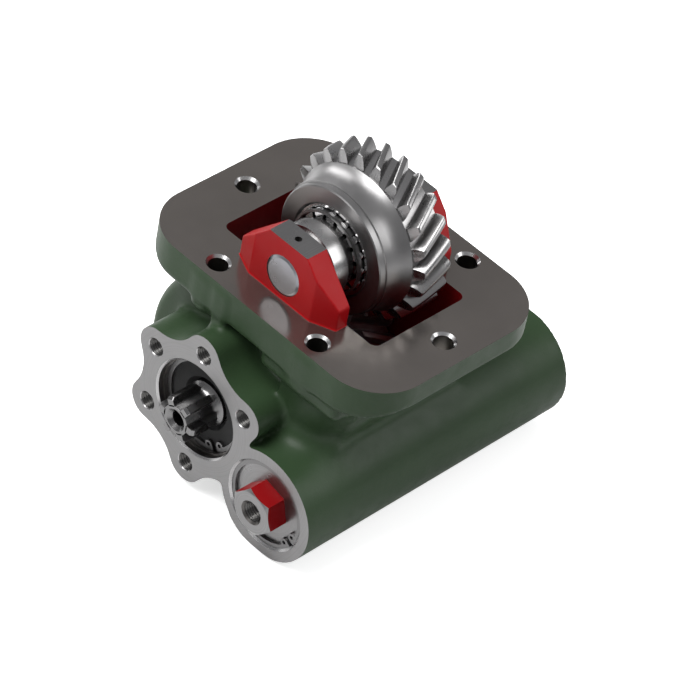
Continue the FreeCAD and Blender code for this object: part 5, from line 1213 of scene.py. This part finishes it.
def by_ray(tree, ray, others, chosen):
    """One shader for the rays of a kind, another for all the others."""
    share = tree.nodes.new("ShaderNodeLightPath").outputs[ray]
    inputs = {0: share, 1: others.outputs[0], 2: chosen.outputs[0]}
    return node(tree, "ShaderNodeMixShader", inputs)


def studio_world():
    """White behind the unit, and a soft grey sky in what its steel reflects."""
    world = bpy.data.worlds.new("studio")
    bpy.context.scene.world = world
    world.use_nodes = True
    tree = world.node_tree
    tree.nodes.clear()
    place = tree.nodes.new("ShaderNodeTexCoord").outputs["Generated"]
    height = node(tree, "ShaderNodeSeparateXYZ", {0: place}).outputs["Z"]
    ramp = node(tree, "ShaderNodeValToRGB", {0: math_node(tree, "MULTIPLY_ADD", height, 0.5, 0.5)})
    stops = ramp.color_ramp.elements
    stops[0].position, stops[0].color = 0.45, (0.30, 0.30, 0.31, 1)
    stops[1].position, stops[1].color = 0.95, (0.55, 0.55, 0.56, 1)
    soft = node(tree, "ShaderNodeBackground", {"Color": ramp.outputs[0], "Strength": 0.9})
    white = node(tree, "ShaderNodeBackground", {"Color": (1, 1, 1, 1), "Strength": 1.0})
    shown = by_ray(tree, "Is Camera Ray", soft, white)
    node(tree, "ShaderNodeOutputWorld", {"Surface": shown.outputs[0]})


def floor_material():
    """Pale floor that the camera sees a little brighter than the steel does."""
    material = bpy.data.materials.new("pale_floor")
    material.use_nodes = True
    tree = material.node_tree
    tree.nodes.clear()
    grain = node(tree, "ShaderNodeTexNoise", {"Scale": 3.0}).outputs["Fac"]
    mixed = {0: math_node(tree, "MULTIPLY", grain, 0.02), 6: (*settings("stage").floor, 1), 7: (1, 1, 1, 1)}
    tint = node(tree, "ShaderNodeMix", mixed, data_type="RGBA")
    matt = node(tree, "ShaderNodeBsdfDiffuse", {"Color": tint.outputs[2]})
    dull = node(tree, "ShaderNodeBsdfDiffuse", {"Color": (0.42, 0.42, 0.42, 1)})
    glow = node(tree, "ShaderNodeEmission", {"Color": (1, 1, 1, 1), "Strength": 0.62})
    bright = node(tree, "ShaderNodeAddShader", {0: matt.outputs[0], 1: glow.outputs[0]})
    mirrored = by_ray(tree, "Is Glossy Ray", dull, matt)
    shown = by_ray(tree, "Is Camera Ray", mirrored, bright)
    node(tree, "ShaderNodeOutputMaterial", {"Surface": shown.outputs[0]})
    return material


class PTO_OT_stage(bpy.types.Operator):
    """Floor, soft lights and the camera of the photograph"""

    bl_idname = "pto.stage"
    bl_label = "Stage"

    def execute(self, context):
        chosen = settings("stage")
        scene = bpy.context.scene
        scene.view_settings.view_transform = "Standard"
        far = 9000
        corners = [(-far, -far, 0), (far, -far, 0), (far, far, 0), (-far, far, 0)]
        floor = bpy.data.objects.new("floor", mesh_from("floor", corners, [(0, 1, 2, 3)]))
        floor.location.z = (GROUND - 0.2) * MM
        scene.collection.objects.link(floor)
        floor.data.materials.append(floor_material())
        studio_world()
        area_light("key", (-0.35, -0.55, 1.1), (0.9, 0.9), chosen.key * 4)
        area_light("rim", (0.9, 0.7, 0.7), (0.6, 0.9), chosen.fill * 4)
        area_light("side", (-1.0, 0.2, 0.5), (0.3, 0.8), chosen.fill * 3)
        back = CAMERA_BACK.normalized()
        level = Vector((math.cos(CAMERA_HEADING), math.sin(CAMERA_HEADING), 0))
        rise = back.cross(level)
        right = math.cos(CAMERA_ROLL) * level + math.sin(CAMERA_ROLL) * rise
        up = -math.sin(CAMERA_ROLL) * level + math.cos(CAMERA_ROLL) * rise
        turn = Matrix((right, up, back)).transposed().to_4x4()
        data = bpy.data.cameras.new("camera")
        data.lens = CAMERA_LENS
        data.sensor_width = 36.0
        data.clip_start, data.clip_end = 0.05, 40.0
        camera = bpy.data.objects.new("camera", data)
        scene.collection.objects.link(camera)
        camera.matrix_world = Matrix.Translation(CAMERA_PLACE) @ turn
        scene.camera = camera
        return {"FINISHED"}


class PTO_PT_panel(bpy.types.Panel):
    """Pieces of the power take off unit"""

    bl_idname = "PTO_PT_panel"
    bl_label = "Power take off unit"
    bl_space_type = "VIEW_3D"
    bl_region_type = "UI"
    bl_category = "Power take off"

    def draw(self, context):
        for group, names in (
            ("casting", ("paint", "red", "step", "grain")),
            ("gear", ("teeth", "module", "helix", "steel")),
            ("metal", ("polished", "milled", "flange")),
            ("stage", ("floor", "key", "fill")),
        ):
            box = self.layout.box()
            for name in names:
                box.prop(settings(group), name)
        for operator in OPERATORS:
            self.layout.operator(operator.bl_idname)


GROUPS = {"casting": CastingSettings, "gear": GearSettings, "metal": MetalSettings, "stage": StageSettings}
OPERATORS = (
    PTO_OT_casting,
    PTO_OT_ears,
    PTO_OT_idler_gear,
    PTO_OT_output_shaft,
    PTO_OT_threads,
    PTO_OT_return_spring,
    PTO_OT_steel_pieces,
    PTO_OT_cap,
    PTO_OT_stage,
)


def register():
    for kind in (*GROUPS.values(), *OPERATORS, PTO_PT_panel):
        bpy.utils.register_class(kind)
    for name, group in GROUPS.items():
        setattr(bpy.types.Scene, "pto_" + name, bpy.props.PointerProperty(type=group))


def unregister():
    for name in GROUPS:
        delattr(bpy.types.Scene, "pto_" + name)
    for kind in reversed((*GROUPS.values(), *OPERATORS, PTO_PT_panel)):
        bpy.utils.unregister_class(kind)


def main():
    register()
    for operator in OPERATORS:
        space, name = operator.bl_idname.split(".")
        getattr(getattr(bpy.ops, space), name)()


if __name__ == "__main__":
    main()
